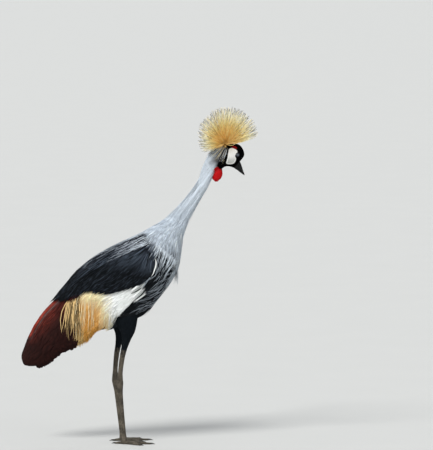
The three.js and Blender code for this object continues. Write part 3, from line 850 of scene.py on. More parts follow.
def feathers(name, slot, finish, spots, outs, wide, vane, stops, paint, draw, place, high, across=3,
             ridge=0.16, roll=0.2):
    """One joined mesh of closed vanes laid along lines.

    spots, outs: lines and ways out, (count, steps, 3). wide: widths. stops: shares of the length where
    rings sit, the first and last as points. paint: a painter of the tones. draw: its random numbers.
    place: each root's place on the unwrapped skin. high: heights over the line at the stops.
    """
    count, steps = spots.shape[:2]
    stops = np.array(stops, float)
    x = stops * (steps - 1)
    low = np.minimum(x.astype(int), steps - 2)
    share = (x - low)[None, :, None]
    line = spots[:, low] * (1 - share) + spots[:, low + 1] * share
    out = unit(outs[:, low] * (1 - share) + outs[:, low + 1] * share)
    line = line + out * high[:, :, None]
    along = unit(np.gradient(line, axis=1))
    side = unit(np.cross(along, out))
    up = np.cross(side, along)
    rng = np.random.default_rng(len(name) * 1000 + count)
    turned = rng.normal(size=(count, 1, 1)) * roll
    side, up = side * np.cos(turned) + up * np.sin(turned), up * np.cos(turned) - side * np.sin(turned)
    edge = np.array([-1, 0, 1] if across == 3 else [-1, -0.62, 0, 0.62, 1])
    width = np.interp(stops[1:-1], *VANES[vane]) * wide[:, None] / 2
    width = width * (1 + 0.07 * rng.normal(size=width.shape))
    body = (
        line[:, 1:-1, None] + side[:, 1:-1, None] * (width[:, :, None] * edge)[..., None]
        + up[:, 1:-1, None] * (width[:, :, None] * ridge * 2 * (1 - edge**2))[..., None]
    )
    places = np.concatenate([line[:, :1], body.reshape(count, -1, 3), line[:, -1:]], 1)
    one, sizes, flat = vane_faces(len(stops) - 2, across)
    corners = (one[None] + np.arange(count)[:, None] * places.shape[1]).ravel()
    starts = starts_of(np.tile(sizes, count))
    mesh = new_mesh(name, places.reshape(-1, 3), corners, starts, np.tile(flat, count))
    shares = np.concatenate([[0], np.repeat(stops[1:-1], across), [1]])
    edges = np.concatenate([[0], np.tile(edge, len(stops) - 2), [0]])
    set_tone(mesh, paint(draw, places, shares, edges).reshape(-1, 3))
    patch = np.stack([edges[one] * 0.5, shares[one] - 0.5], -1) * PATCH
    set_map(mesh, "OFBake", spread(place)[:, None] + patch[None])
    long = np.linalg.norm(np.diff(line, axis=1), axis=2).sum(1)
    set_map(mesh, "vane", np.stack([edges[one] * wide[:, None] / 2, shares[one] * long[:, None]], -1))
    return part_of_crane(new_object(name, mesh), slot, finish)


def to_tip(u):
    """How far the folded wings' tip lies from places on the hull, in metres."""
    middle = hull.rows[:, 0:3]
    far = np.concatenate([[0], np.cumsum(np.linalg.norm(np.diff(middle, axis=0), axis=1))])
    return far[-1] - np.interp(u, np.linspace(0, 1, len(far)), far)


def coat(name, slot, finish, count, seed, span, long, wide, keep, paint, *, vane="lance", stops=LANCE_STOPS,
         tube=None, way=lie_of_coat, depth=None, rise=(0.25, 1.0), climb=0.8, more=0.0, swerve=0.12,
         waves=(0.0, 0.03), leave=None, hang=0.35, shown_at=0.8, uneven=0.18, **shape):
    """Feathers over the hull, or over another tube of the given coat's depth.

    span: from which station of the hull to which, or shares of the other tube. long, wide: ranges in
    millimetres, or functions of the root's place. keep(root, shown, u): which ones stay. rise: how far root
    and tip stand out of the coat's depth. more: how much higher the tips lie, in millimetres.
    """
    if tube is None:
        tube, span = hull, [station / LAST for station in span]
    u, turn = scatter(tube, count, span, seed)
    root = tube.at(u, turn)
    draw = np.random.default_rng(seed + 50).random((count, 6))
    long, wide = (
        (size(root) * (0.8 + 0.4 * chance) if callable(size) else size[0] + (size[1] - size[0]) * chance) * MM
        for size, chance in ((long, draw[:, 0]), (wide, draw[:, 1]))
    )
    if tube is hull:
        long = np.minimum(long, to_tip(u) + PAST_TIP * MM)
    lean = (draw[:, 2] - 0.5) * 2 * swerve
    spots, outs = lay(
        tube, u, turn, long, way, LINE_STEPS, lambda spot: lean + waves[0] * ripple(spot, waves[1], seed + 7),
        leave, hang
    )
    kept = keep(root, spots[:, round(shown_at * LINE_STEPS)], u)
    spots, outs, wide, u, turn, draw = (values[kept] for values in (spots, outs, wide, u, turn, draw))
    deep = coat_depth(u) if depth is None else np.full(len(u), depth * MM)
    climbed = np.array(stops, float)[None] ** climb
    share = rise[0] + (rise[1] - rise[0]) * climbed + uneven * (draw[:, 3:4] - 0.5)
    high = deep[:, None] * (share - 1) + more * MM * climbed
    place = np.stack([(turn / (2 * math.pi)) % 1, u], -1)
    feathers(name, slot, finish, spots, outs, wide, vane, stops, paint, draw, place, high, **shape)


def strands(name, slot, finish, seed, paths, wide, paint, high, stops, vane="strand"):
    """Single plumes along paths in the outline's x and z, on both sides, at heights over the hull."""
    lines, outs, places = [], [], []
    rng = np.random.default_rng(seed)
    for path in paths:
        line = curve(path, 6)
        line = line[np.linspace(0, len(line) - 1, LINE_STEPS + 1).round().astype(int)]
        for sign in (-1, 1):
            u, turn = on_hull(line + rng.normal(size=(1, 2)) * 0.6, sign)
            spot, _, _, out = hull.frame_at(u, turn)
            lines.append(spot)
            outs.append(out)
            places.append((turn[0] / (2 * math.pi) % 1, u[0]))
    lines, outs, places = np.array(lines), np.array(outs), np.array(places)
    lines[:, 1:-1] = (lines[:, :-2] + 2 * lines[:, 1:-1] + lines[:, 2:]) / 4
    draw = rng.random((len(lines), 6))
    lift = high[0] + (high[1] - high[0]) * np.array(stops)[None] + 0.4 * rng.normal(size=(len(lines), 1))
    wide = (wide[0] + (wide[1] - wide[0]) * draw[:, 0]) * MM
    feathers(name, slot, finish, lines, outs, wide, vane, stops, paint, draw, places, lift * MM, ridge=0.2)


def streaks(name, slot, seed, count, start, end, wide, paint, high, stops, *, wander=4.0, crowded=1.0,
            waves=0.0, reach=(1.0, 1.0)):
    """Strands in shared waves from along one line to along another, both in the outline's x and z."""
    rng = np.random.default_rng(seed)
    start, end = (np.array(line, float) for line in (start, end))
    shares = np.array([0, 0.25, 0.5, 0.75, 1])[:, None]
    paths = []
    for share in ((np.arange(count) + rng.random(count)) / count) ** crowded:
        a, b = (line[0] + (line[1] - line[0]) * share for line in (start, end))
        b = a + (b + rng.normal(size=2) * wander - a) * rng.uniform(*reach)
        across = np.array([a[1] - b[1], b[0] - a[0]]) / max(math.dist(a, b), 1e-6)
        wave = waves * np.sin(2 * math.pi * (1.1 * shares + 1.3 * share) + 0.6 * rng.normal())
        bow = wander * rng.normal() * np.sin(math.pi * shares)
        paths.append(a + (b - a) * shares + across * (wave + bow) * np.minimum(1, 4 * shares))
    strands(name, slot, plumage, seed, paths, wide, paint, high, stops)


# Finishes

def node_of(tree, kind, inputs=(), **settings):
    """A new node with settings; inputs gives its sockets values or other nodes' outputs."""
    node = tree.nodes.new(kind)
    for key, value in settings.items():
        setattr(node, key, value)
    for socket, value in dict(inputs).items():
        if isinstance(value, bpy.types.NodeSocket):
            tree.links.new(value, node.inputs[socket])
        else:
            node.inputs[socket].default_value = value
    return node


def new_finish(name, **constants):
    """A material, its tree and its Principled shader, which has the given constants."""
    material = bpy.data.materials.new(name)
    material.use_nodes = True
    principled = material.node_tree.nodes["Principled BSDF"]
    for key, value in constants.items():
        principled.inputs[key.replace("_", " ")].default_value = value
    return material, material.node_tree, principled


def maths(tree, how, *values):
    return node_of(tree, "ShaderNodeMath", enumerate(values), operation=how).outputs[0]


def object_place(tree):
    return node_of(tree, "ShaderNodeTexCoord").outputs["Object"]


def noise(tree, scale, detail=3.0, stretch=None):
    place = object_place(tree)
    if stretch:
        place = node_of(tree, "ShaderNodeMapping", {
            "Vector": place, "Rotation": stretch[0], "Scale": stretch[1]}).outputs["Vector"]
    return node_of(tree, "ShaderNodeTexNoise", {
        "Vector": place, "Scale": scale, "Detail": detail}).outputs["Fac"]


def ranged(tree, factor, low, high):
    return node_of(tree, "ShaderNodeMapRange", {"Value": factor, "To Min": low, "To Max": high}).outputs[0]


def tinted(tree, colour, factor, low, high):
    """colour times a value that factor moves between low and high."""
    return node_of(tree, "ShaderNodeVectorMath", {
        0: colour, "Scale": ranged(tree, factor, low, high)}, operation="SCALE").outputs[0]


def ramped(tree, factor, stops):
    """A colour by a factor, through stops of a position and a colour."""
    ramp = node_of(tree, "ShaderNodeValToRGB", {"Fac": factor})
    elements = ramp.color_ramp.elements
    while len(elements) < len(stops):
        elements.new(0.5)
    for element, (position, colour) in zip(elements, stops):
        element.position, element.color = position, (*colour, 1)
    return ramp.outputs["Color"]


def attribute(tree, name, output="Fac"):
    return node_of(tree, "ShaderNodeAttribute", attribute_name=name).outputs[output]


def bumped(tree, principled, height, strength, distance):
    bump = node_of(tree, "ShaderNodeBump", {"Height": height, "Strength": strength, "Distance": distance})
    tree.links.new(bump.outputs["Normal"], principled.inputs["Normal"])


def feather_finish(name, barbs, grain, relief=0.35, **constants):
    """Feathers: the tone of each, fine mottling, and barbs that slant from the shaft, with painted light and
    shade along the barbs.
    """
    material, tree, principled = new_finish(name, **constants)
    vane = node_of(tree, "ShaderNodeUVMap", uv_map="vane").outputs["UV"]
    parts = node_of(tree, "ShaderNodeSeparateXYZ", {0: vane}).outputs
    off = maths(tree, "ABSOLUTE", parts["X"])
    slant = maths(tree, "SUBTRACT", parts["Y"], maths(tree, "MULTIPLY", off, 1.3))
    wander = maths(tree, "MULTIPLY", noise(tree, 160.0), 0.004)
    wave = maths(tree, "SINE", maths(tree, "MULTIPLY", maths(tree, "ADD", slant, wander), barbs))
    shaft = maths(tree, "MULTIPLY", maths(tree, "LESS_THAN", off, 0.0004), 1.5)
    colour = tinted(tree, attribute(tree, "tone", "Color"), noise(tree, 420.0, 4.0), 1 - grain, 1 + grain)
    # the barbs' ridges painted lighter and their furrows darker, as painted light and shade that follow their
    # relief
    lit = maths(tree, "MULTIPLY_ADD", wave, 0.5, 0.5)
    colour = tinted(tree, colour, lit, 1 - 0.5 * grain, 1 + 0.5 * grain)
    tree.links.new(colour, principled.inputs["Base Color"])
    bumped(tree, principled, maths(tree, "ADD", wave, shaft), relief, 0.0003)
    return material


def skin_finish():
    """Bare and scaly skin: its tone, fine mottling and small cells."""
    material, tree, principled = new_finish("bare skin", Specular_IOR_Level=0.15)
    fine = noise(tree, 900.0, 5.0)
    colour = tinted(tree, attribute(tree, "tone", "Color"), fine, 0.82, 1.15)
    tree.links.new(colour, principled.inputs["Base Color"])
    cells = node_of(tree, "ShaderNodeTexVoronoi", {"Vector": object_place(tree), "Scale": 420.0},
                    feature="DISTANCE_TO_EDGE").outputs["Distance"]
    ditch = maths(tree, "MULTIPLY", maths(tree, "MINIMUM", cells, 0.12), 4.0)
    bumped(tree, principled, maths(tree, "ADD", ditch, fine), 0.5, 0.0004)
    tree.links.new(ranged(tree, noise(tree, 300.0), 0.42, 0.7), principled.inputs["Roughness"])
    return material


def horn_finish(name, colour, worn, rotation):
    """Horn with worn streaks along it."""
    material, tree, principled = new_finish(name, Specular_IOR_Level=0.22)
    streak = noise(tree, 260.0, 4.0, (rotation, (0.25, 1.0, 1.0)))
    tree.links.new(ramped(tree, streak, [(0.35, colour), (0.75, worn)]), principled.inputs["Base Color"])
    tree.links.new(ranged(tree, noise(tree, 500.0), 0.3, 0.55), principled.inputs["Roughness"])
    bumped(tree, principled, streak, 0.25, 0.0003)
    return material


def eye_finish():
    """Black pupil, rayed grey iris and dark rim, by the attribute disc: how far off the pupil's middle."""
    material, tree, principled = new_finish("eye", Roughness=0.12, Coat_Weight=1.0, Coat_Roughness=0.03)
    wave = maths(tree, "SINE", maths(tree, "MULTIPLY", attribute(tree, "ray"), 46.0))
    rough = maths(tree, "MULTIPLY", maths(tree, "ADD", wave, noise(tree, 2500.0)), 0.16)
    far = maths(tree, "DIVIDE", maths(tree, "ADD", attribute(tree, "disc"), rough), IRIS_REACH)
    colour = ramped(tree, far, [
        (0.0, (0.004,) * 3), (0.27, (0.004,) * 3), (0.31, (0.07, 0.09, 0.11)), (0.46, (0.14, 0.17, 0.21)),
        (0.56, (0.05, 0.065, 0.08)), (0.62, (0.01,) * 3),
    ])
    tree.links.new(colour, principled.inputs["Base Color"])
    return material


# Geometry nodes

def start_tree(name, inputs):
    """A node tree for a modifier and its inputs' sockets, by name."""
    tree = bpy.data.node_groups.new(name, "GeometryNodeTree")
    for label, kind in {"Geometry": "Geometry", **inputs, "Finish": "Material"}.items():
        tree.interface.new_socket(label, in_out="INPUT", socket_type=f"NodeSocket{kind}")
    tree.interface.new_socket("Geometry", in_out="OUTPUT", socket_type="NodeSocketGeometry")
    return tree, tree.nodes.new("NodeGroupInput").outputs


def end_tree(tree, given, geometry):
    """The tree, which ends by making its instances real and giving them their material."""
    real = node_of(tree, "GeometryNodeRealizeInstances", {"Geometry": geometry})
    painted = node_of(tree, "GeometryNodeSetMaterial", {
        "Geometry": real.outputs[0], "Material": given["Finish"]})
    node_of(tree, "NodeGroupOutput", {"Geometry": painted.outputs[0]})
    return tree


def bristle_tree():
    """Tapered round bristles along the edges of a mesh of lines."""
    tree, given = start_tree("bristles", {
        "Root radius": "Float", "Tip radius": "Float", "Sides": "Int", "Spread": "Float", "Seed": "Int"})
    lines = node_of(tree, "GeometryNodeMeshToCurve", {"Mesh": given["Geometry"]})
    taper = node_of(tree, "ShaderNodeMapRange", {
        "Value": node_of(tree, "GeometryNodeSplineParameter").outputs["Factor"],
        "To Min": given["Root radius"], "To Max": given["Tip radius"]})
    vary = node_of(tree, "FunctionNodeRandomValue", {
        2: maths(tree, "SUBTRACT", 1.0, given["Spread"]), 3: 1.0,
        "ID": node_of(tree, "GeometryNodeInputIndex").outputs[0], "Seed": given["Seed"]})
    radius = maths(tree, "MULTIPLY", taper.outputs["Result"], vary.outputs[1])
    sized = node_of(tree, "GeometryNodeSetCurveRadius", {"Curve": lines.outputs[0], "Radius": radius})
    ring = node_of(tree, "GeometryNodeCurvePrimitiveCircle", {"Resolution": given["Sides"], "Radius": 1.0})
    solid = node_of(tree, "GeometryNodeCurveToMesh", {
        "Curve": sized.outputs[0], "Profile Curve": ring.outputs[0], "Fill Caps": True})
    if "Scale" in solid.inputs:
        tree.links.new(radius, solid.inputs["Scale"])
    return end_tree(tree, given, solid.outputs[0])


def plate_tree():
    """Low domed plates on the points of a mesh, turned and sized by the points' attributes."""
    tree, given = start_tree("scutes", {"Rings": "Int", "Segments": "Int"})
    outwards, lengthwise, sizes = (
        node_of(tree, "GeometryNodeInputNamedAttribute", {"Name": label}, data_type="FLOAT_VECTOR").outputs[0]
        for label in ("outwards", "lengthwise", "sizes")
    )
    turned = node_of(tree, "FunctionNodeAxesToRotation", {0: outwards, 1: lengthwise}, primary_axis="Z",
                     secondary_axis="X")
    dome = node_of(tree, "GeometryNodeMeshUVSphere", {
        "Segments": given["Segments"], "Rings": given["Rings"], "Radius": 1.0})
    points = node_of(tree, "GeometryNodeMeshToPoints", {"Mesh": given["Geometry"]})
    placed = node_of(tree, "GeometryNodeInstanceOnPoints", {
        "Points": points.outputs[0], "Instance": dome.outputs["Mesh"], "Rotation": turned.outputs[0],
        "Scale": sizes})
    return end_tree(tree, given, placed.outputs[0])


def grown_with(tree, start, **values):
    """The plain mesh that a tree makes of a starting mesh, as an object of that mesh's name."""
    piece = new_object(start.name, start)
    step = piece.modifiers.new(tree.name, "NODES")
    step.node_group = tree
    for item in tree.interface.items_tree:
        if item.in_out == "INPUT" and item.name in values:
            step[item.identifier] = values[item.name]
    return evaluated(piece)


# Tones of feathers

def plain_tones(base, spread=0.12, root=0.8, tip=1.1, edge=0.0, edge_tone=None):
    """A painter in tones of a base colour, or function of place, with its root, tip and edge; a root value
    below the tip's paints each feather darker towards its root as painted shade under the feathers over it.

    A painter takes each feather's random numbers, its points' places, and how far each point lies along
    and across the vane.
    """
    def paint(draw, places, shares, edges):
        ground = base(places) if callable(base) else np.broadcast_to(base, places.shape)
        value = 1 + spread * 2 * (draw[:, 4] - 0.5)
        # darker towards the root: painted shade where the feathers over it cover the root
        colour = ground * (value[:, None] * (root + (tip - root) * shares)[None])[..., None]
        if edge_tone is None:
            return colour
        rim = edge * np.abs(edges)[None] * smooth(shares, 0.3, 0.8)[None] * (0.4 + 1.2 * draw[:, 5:6])
        return mix(colour, edge_tone, np.clip(rim, 0, 1))

    return paint


def streaked(light, dim, dark, share, pale_roots=True):
    """A painter of pale strands that dim towards the tip, a given share of them, among dark ones."""
    root = light if pale_roots else dark

    def paint(draw, places, shares, edges):
        pale = (draw[:, 1] < share)[:, None, None]
        value = (0.8 + 0.4 * draw[:, 4])[:, None, None]
        tint = mix(light, dim, smooth(shares, 0.25, 1.0))[None]
        return np.where(pale, tint, mix(root, dark, smooth(shares, 0.0, 0.3))[None]) * value

    return paint


def nape_tones(draw, places, shares, edges):
    """Straw, grey and brown plumes that fall from the crown."""
    pick = draw[:, :1]
    base = np.where(pick < 0.3, CREAM * 0.75, np.where(pick < 0.65, NECK_GREY * 0.6, NAPE_BROWN * 0.5))
    # each plume darker towards its root, as painted shade under the plumes over it
    return base[:, None] * (0.85 + 0.3 * shares)[None, :, None]


def wing_tones(draw, places, shares, edges):
    """Black feathers, with steel-blue ones here and there and more of them at the wing's upper front."""
    x, z = outline_of(places)
    chance = draw[:, 1:2]
    front = (1 - smooth(inside(x, z, WING), 8, 80)) * smooth(x, -60, 90) * smooth(z, 530, 590)
    steel = 0.36 * (chance < 0.2) + 0.95 * front * (chance > 0.35)
    value = (0.7 + 0.5 * draw[:, 4])[:, None, None]
    # each feather darker towards its root, as painted shade under the feathers over it
    return mix(COAL, STEEL, steel) * value * (0.7 + 0.4 * shares)[None, :, None]


def streak_tones(draw, places, shares, edges):
    """Pale plumes that rise from the colours round them, dark ones on the wing."""
    x, z = outline_of(places)
    light = mix(PLUME_GREY * 0.7, NECK_GREY, smooth(inside(x, z, PALE), -90, 0))
    fade = smooth(shares, 0.0, 0.25)[None] * smooth(1 - shares, 0.0, 0.15)[None]
    dark = smooth(inside(x, z, WING), 0, 10) * (x < 116)
    colour = mix(mix(body_colour(places), light, fade), mix(COAL, SLATE * 1.5, 0.8 * fade), dark)
    return colour * (0.6 + 0.8 * draw[:, 4])[:, None, None]


def shoulder_tones(draw, places, shares, edges):
    """Pale plumes, and slate ones between them where they end."""
    pale = plain_tones(body_colour, 0.3, 0.85, 1.1)(draw, places, shares, edges)
    light = (draw[:, 5] < 0.35)[:, None] * smooth(shares, 0.0, 0.4)[None]
    depth = np.where(over_back_line(places), 12, 40)
    dark = (draw[:, 5] > 0.45)[:, None] * smooth(-deep_in(places, PALE), -depth, -4)
    return layered(pale, (NECK_GREY, 0.7 * light), (SLATE * 0.8, 0.85 * dark))


# Places of feathers: which stay, by the places of the root and of a point near the tip

def chance_of(u, seed):
    return np.random.default_rng(seed).random(len(u))


def over_hollow(spot, u):
    """True where the wings' wall doesn't reach, over the opening under them."""
    centre, deep, wide, egg = hollow.section((u * LAST - BODY_START) / (HOLLOW_END - BODY_START))
    rel = spot - centre
    a = dot(rel, deep) / dot(deep, deep)
    b = dot(rel, wide) / dot(wide, wide)
    return ((a**2 + (b / (1 + egg * a)) ** 2) < 1)[:, 0]


def is_face(spot):
    return (deep_in(spot, FACE) > 0) & (height_of(spot) > FACE_FOOT)


def clear_of_eye_and_cheek(spot):
    bare = (deep_in(spot, cheek_line) > -0.6) | (deep_in(spot, RED_BROW) > 0)
    return (from_eye(spot) > 7.6) & ~(bare & (off_middle(spot) > 7))


def on_face(root, shown, u):
    return is_face(root) & clear_of_eye_and_cheek(root) & clear_of_eye_and_cheek(shown)


def on_neck(root, shown, u):
    covered = (deep_in(root, THROAT_RED) < 0) & (deep_in(shown, THROAT_RED) < 0)
    return ~is_face(root) & (height_of(root) > 690) & covered


def on_shoulder(root, shown, u):
    chance = chance_of(u, 62)
    pale = deep_in(shown, PALE) > np.where(over_back_line(shown), -12, -28) + 34 * chance
    return pale & (deep_in(shown, WING) < 4 * chance**2) & (height_of(root) < 740)


def on_breast(root, shown, u):
    clear = ~in_wing(shown) & ~in_wing(root) & ~in_panel(shown)
    return (deep_in(shown, PALE) < 6) & clear & ~over_back_line(shown)


def on_mantle(root, shown, u):
    return (deep_in(shown, WING) < 12) & (deep_in(shown, PALE) < 4) & over_back_line(shown)


def on_scapulars(root, shown, u):
    black = (deep_in(shown, WING) > 2) & ~in_panel(shown) & ~in_chestnut(shown)
    return black & ~over_hollow(root, u) & (deep_in(root, WING) > -9)


def on_coverts(root, shown, u):
    near = (deep_in(root, PANEL) > -42) & ~over_hollow(root, u)
    return in_panel(shown) & (outline_of(shown)[0] > -84) & near


def on_plumes(root, shown, u):
    x, z = outline_of(shown)
    hanging = (inside(x, z, PANEL) > 0) | ((z < 400) & (inside(x, z + 34, PANEL) > 0))
    chance = chance_of(u, 63)
    dense = (chance < 1 - smooth(-x, 108, 136)) & (chance > smooth(x, -70, -5))
    return hanging & (x < 0) & dense & (deep_in(root, PANEL) > -36) & ~over_hollow(root, u)


def on_secondaries(root, shown, u):
    x = outline_of(shown)[0]
    red = in_chestnut(shown) | ((u > 0.93) & (x < -190)) | ((x < -122) & (deep_in(shown, PANEL) > 0))
    return red & (to_tip(u) > 38 * MM) & ~over_hollow(root, u) & (outline_of(root)[0] < -118)


def on_streaks(root, shown, u):
    """Thin pale plumes: dense by the pale neck, sparse over the back, breast and belly, few on the wings."""
    pale, off = deep_in(root, PALE), off_middle(shown)
    back = (0.06 + 0.55 * smooth(pale, -130, 20)) * (1 - 0.75 * smooth(off, 18, 40))
    front = 0.6 * smooth(pale, -38, 4) * (1 - 0.85 * smooth(off, 25, 50))
    share = np.where(over_back_line(shown), back, front)
    share = np.where(deep_in(shown, WING) > 8, 0.12, share)
    clear = ~in_panel(shown) & ~in_panel(root) & ~in_chestnut(shown) & ~over_hollow(root, u)
    return clear & (chance_of(u, 61) < share) & (height_of(root) < 735)


def on_thigh(root, shown, u):
    return height_of(root) < 440


def anywhere(root, shown, u):
    return np.ones(len(u), bool)


def leaves_wing(spot, out, u):
    return ((out[:, 2] < -0.35) & in_wing(spot)) | (u > 0.985)


def leaves_breast(spot, out, u):
    x, z = outline_of(spot)
    return (out[:, 0] > 0.72) & (x > 168) & (z < 570) & (z > 520) & (ripple(spot, 0.004, 77) > 0.5)


def by_height(heights, sizes):
    """A size in millimetres that changes with the height of the root."""
    return lambda root: np.interp(height_of(root), heights, sizes)


# The crane

plumage = feather_finish("soft plumage", 9000.0, 0.16, Roughness=0.9, Specular_IOR_Level=0.1)
velvet = feather_finish("velvet plumage", 9000.0, 0.2, Roughness=0.95, Specular_IOR_Level=0.03)
vaned = feather_finish("vaned feathers", 7000.0, 0.14, Roughness=0.65, Specular_IOR_Level=0.09)
satin = feather_finish("satin white feathers", 7000.0, 0.04, 0.1, Roughness=0.8, Specular_IOR_Level=0.09)
straw = feather_finish("straw bristles", 5000.0, 0.06, Roughness=0.5, Specular_IOR_Level=0.3)
horn = horn_finish("bill horn", srgb(3, 4, 4), srgb(17, 19, 19), (0, 0.9, 0))
claw_horn = horn_finish("claw horn", srgb(22, 20, 18), srgb(58, 54, 48), (0, 0, 0))
scaly_skin = skin_finish()

skin = make_skin()
set_tone(skin.data, skin_colour(positions(skin.data)))
part_of_crane(
    skin, "bare_skin", scaly_skin, "head", "cheek_left", "cheek_right", "wattle", "neck_upper", "neck_middle",
    "neck_lower", "trunk", "wing_left", "wing_right", "coverts_left", "coverts_right", "plumes_left",
    "plumes_right", "secondaries_left", "secondaries_right", "thigh_left", "thigh_right", "shank_left",
    "shank_right", "tarsus_left", "tarsus_right", "foot_left", "foot_right",
)

NECK_HEIGHTS = (680, 760, 860, 960)  # heights that the neck's plumes have their given sizes at

coat("velvet_plumage", "velvet", velvet, 21000, 1, (0.0, 5.2), (3.2, 5.2), (1.0, 1.5), on_face,
     plain_tones(VELVET, 0.3), stops=(0, 0.35, 0.75, 1), rise=(0.2, 1.15), swerve=0.35)
coat("neck_plumage", "grey_plumage", plumage, 12300, 2, (2.6, 8.7), by_height(NECK_HEIGHTS, (34, 22, 15, 10)),
     by_height(NECK_HEIGHTS, (3.2, 2.6, 2.0, 1.6)), on_neck, plain_tones(body_colour, 0.07, 0.95, 1.04),
     stops=SHORT_STOPS, swerve=0.16, rise=(0.35, 0.95), roll=0.12, ridge=0.12)
coat("hackle_plumes", "grey_plumage", plumage, 17000, 3, (7.6, 14),
     by_height((520, 600, 700, 760), (70, 75, 60, 34)), (2.6, 4.4), on_shoulder, shoulder_tones,
     swerve=0.14, waves=(0.18, 0.05), rise=(0.2, 1.0), more=1.5, leave=leaves_breast)
coat("breast_plumes", "body_plumage", plumage, 9000, 4, (9, 18), (45, 70), (5, 8), on_breast,
     plain_tones(body_colour, 0.4, 0.6, 1.0, 0.1, PLUME_GREY * 0.4), swerve=0.18, waves=(0.4, 0.05),
     rise=(0.15, 0.8), across=5)
coat("mantle_feathers", "body_plumage", vaned, 9000, 5, (8.5, 18), (40, 62), (5, 8), on_mantle,
     plain_tones(body_colour, 0.25, 0.75, 1.15, 0.4, SLATE * 2), swerve=0.08, waves=(0.1, 0.06), across=5)
coat("scapular_feathers", "dark_feather", vaned, 21000, 6, (8.5, 19.5), (60, 95), (3.6, 6), on_scapulars,
     wing_tones, stops=FINE_STOPS, swerve=0.03, waves=(0.05, 0.08), more=3.5, shown_at=1.0, roll=0.12)
coat("white_coverts", "white_feather", satin, 16000, 7, (10, 19), (65, 100), (4, 6.5), on_coverts,
     plain_tones(plume_tone, 0.03, 0.98, 1.0), vane="strand", stops=FINE_STOPS, swerve=0.03,
     leave=leaves_wing, rise=(0.2, 0.7), climb=1.2, roll=0.06, ridge=0.1, uneven=0.06)
coat("golden_plumes", "golden_feather", plumage, 26000, 8, (11, 20), (80, 120), (2.4, 4.0), on_plumes,
     plain_tones(plume_tone, 0.16, 0.94, 1.1), vane="strand", stops=FINE_STOPS, swerve=0.06,
     waves=(0.05, 0.03), more=1.5, leave=leaves_wing, rise=(0.1, 0.9), climb=1.4, hang=0.3)
coat("secondary_feathers", "chestnut_feather", vaned, 4200, 9, (15, 22.3), (95, 140), (9, 15), on_secondaries,
     plain_tones(secondary_tone, 0.3, 0.85, 1.1), vane="broad", stops=BROAD_STOPS, swerve=0.025,
     leave=leaves_wing, across=5, ridge=0.08, roll=0.04, rise=(0.0, 0.8), climb=1.0, hang=0.2)
coat("pale_streaks", "body_plumage", plumage, 14000, 15, (8, 19), (50, 90), (1.6, 2.6), on_streaks,
     streak_tones, vane="strand", swerve=0.1, waves=(0.3, 0.06), rise=(0.5, 1.1), more=3.2)
coat("rump_plumage", "body_plumage", plumage, 3600, 11, (0.4, 0.99), (26, 42), (4, 6), anywhere,
     plain_tones(COAL * 1.3, 0.25, 0.8, 1.2), tube=rump, way=along_tube, depth=4)
for side, leg in legs.items():
    coat(f"thigh_plumage_{side}", "thigh_plumage", plumage, 2800, 12, (0.06, 0.345), (12, 22), (2.0, 3.2),
         on_thigh, plain_tones(THIGH, 0.25, 0.8, 1.15), stops=SHORT_STOPS, tube=leg, way=along_tube,
         depth=2.6, swerve=0.2)

crescent = curve(CRESCENT, 8)
strands("crescent_feathers", "white_feather", satin, 16,
        [crescent[start:start + 20] for start in (0, 4, 8, 12)], (3.0, 3.8), plain_tones(WHITE, 0.04),
        (5.0, 5.0), LANCE_STOPS, "lance")
streaks("wing_border", "grey_plumage", 15, 3, ((107, 540), (103, 536)), ((80, 500), (74, 498)), (1.6, 2.2),
        plain_tones(PLUME_GREY * 0.7, 0.2), (4.5, 4.5), LANCE_STOPS, wander=0.5)
strands("flank_tufts", "white_feather", satin, 17, FLANK_PRONGS * 2, (6.0, 8.0), plain_tones(WHITE, 0.04),
        (4.0, 4.2), LANCE_STOPS, "lance")
strands("flank_gaps", "body_plumage", plumage, 24, FLANK_GAPS * 2, (2.6, 3.6), plain_tones(COAL, 0.2),
        (5.0, 5.4), LANCE_STOPS, "lance")
streaks("mantle_lines", "body_plumage", 25, 90, ((86, 676), (104, 640)), ((-124, 562), (-50, 570)),
        (1.5, 3.0), streaked(NECK_GREY * 0.85, STEEL * 0.7, SLATE * 0.8, 0.33, False), (2.0, 4.5),
        FINE_STOPS, waves=3.0, reach=(0.3, 1.1))
streaks("back_lines", "body_plumage", 32, 44, ((10, 638), (-30, 588)), ((-200, 468), (-150, 500)), (1.6, 2.8),
        streaked(STEEL, STEEL * 0.6, COAL, 0.42, False), (3.0, 5.0), FINE_STOPS, waves=3.0, reach=(0.3, 1.0))
streaks("breast_lines", "body_plumage", 26, 76, ((134, 634), (194, 588)), ((116, 548), (138, 508)),
        (2.0, 3.6), streaked(NECK_GREY, PLUME_GREY * 0.5, COAL * 1.5, 0.36), (2.0, 4.0), FINE_STOPS,
        wander=3.0, waves=2.5, reach=(0.6, 1.15))
streaks("belly_lines", "body_plumage", 27, 76, ((178, 570), (140, 436)), ((108, 522), (8, 392)), (2.2, 4.0),
        streaked(PLUME_GREY * 0.7, PLUME_GREY * 0.55, COAL, 0.36, False), (2.0, 4.0), FINE_STOPS,
        waves=6.0, reach=(0.5, 1.0))
streaks("neck_lines", "grey_plumage", 28, 60, ((296, 896), (318, 866)), ((92, 690), (214, 640)), (1.6, 2.6),
        streaked(NECK_GREY, NECK_GREY, NECK_GREY * 0.74, 0.7), (-0.6, 0.6), FINE_STOPS,
        waves=2.0, reach=(0.3, 1.0))
streaks("nape_streaks", "grey_plumage", 18, 64, ((350, 950), (332, 958)), ((334, 902), (286, 924)),
        (1.1, 1.9), nape_tones, (0.6, 2.2), LANCE_STOPS)
streaks("face_streaks", "grey_plumage", 19, 5, ((350, 946), (345, 946)), ((340, 916), (335, 918)), (0.8, 1.2),
        plain_tones(NECK_GREY, 0.1), (0.8, 1.4), LANCE_STOPS, wander=1.0)
streaks("gold_strands", "golden_feather", 21, 9, ((-62, 474), (-124, 474)), ((-74, 346), (-128, 322)),
        (1.4, 2.2), plain_tones(GOLD_PALE, 0.06), (1.5, 3.5), FINE_STOPS, wander=5.0, waves=2.0,
        reach=(0.7, 1.0))
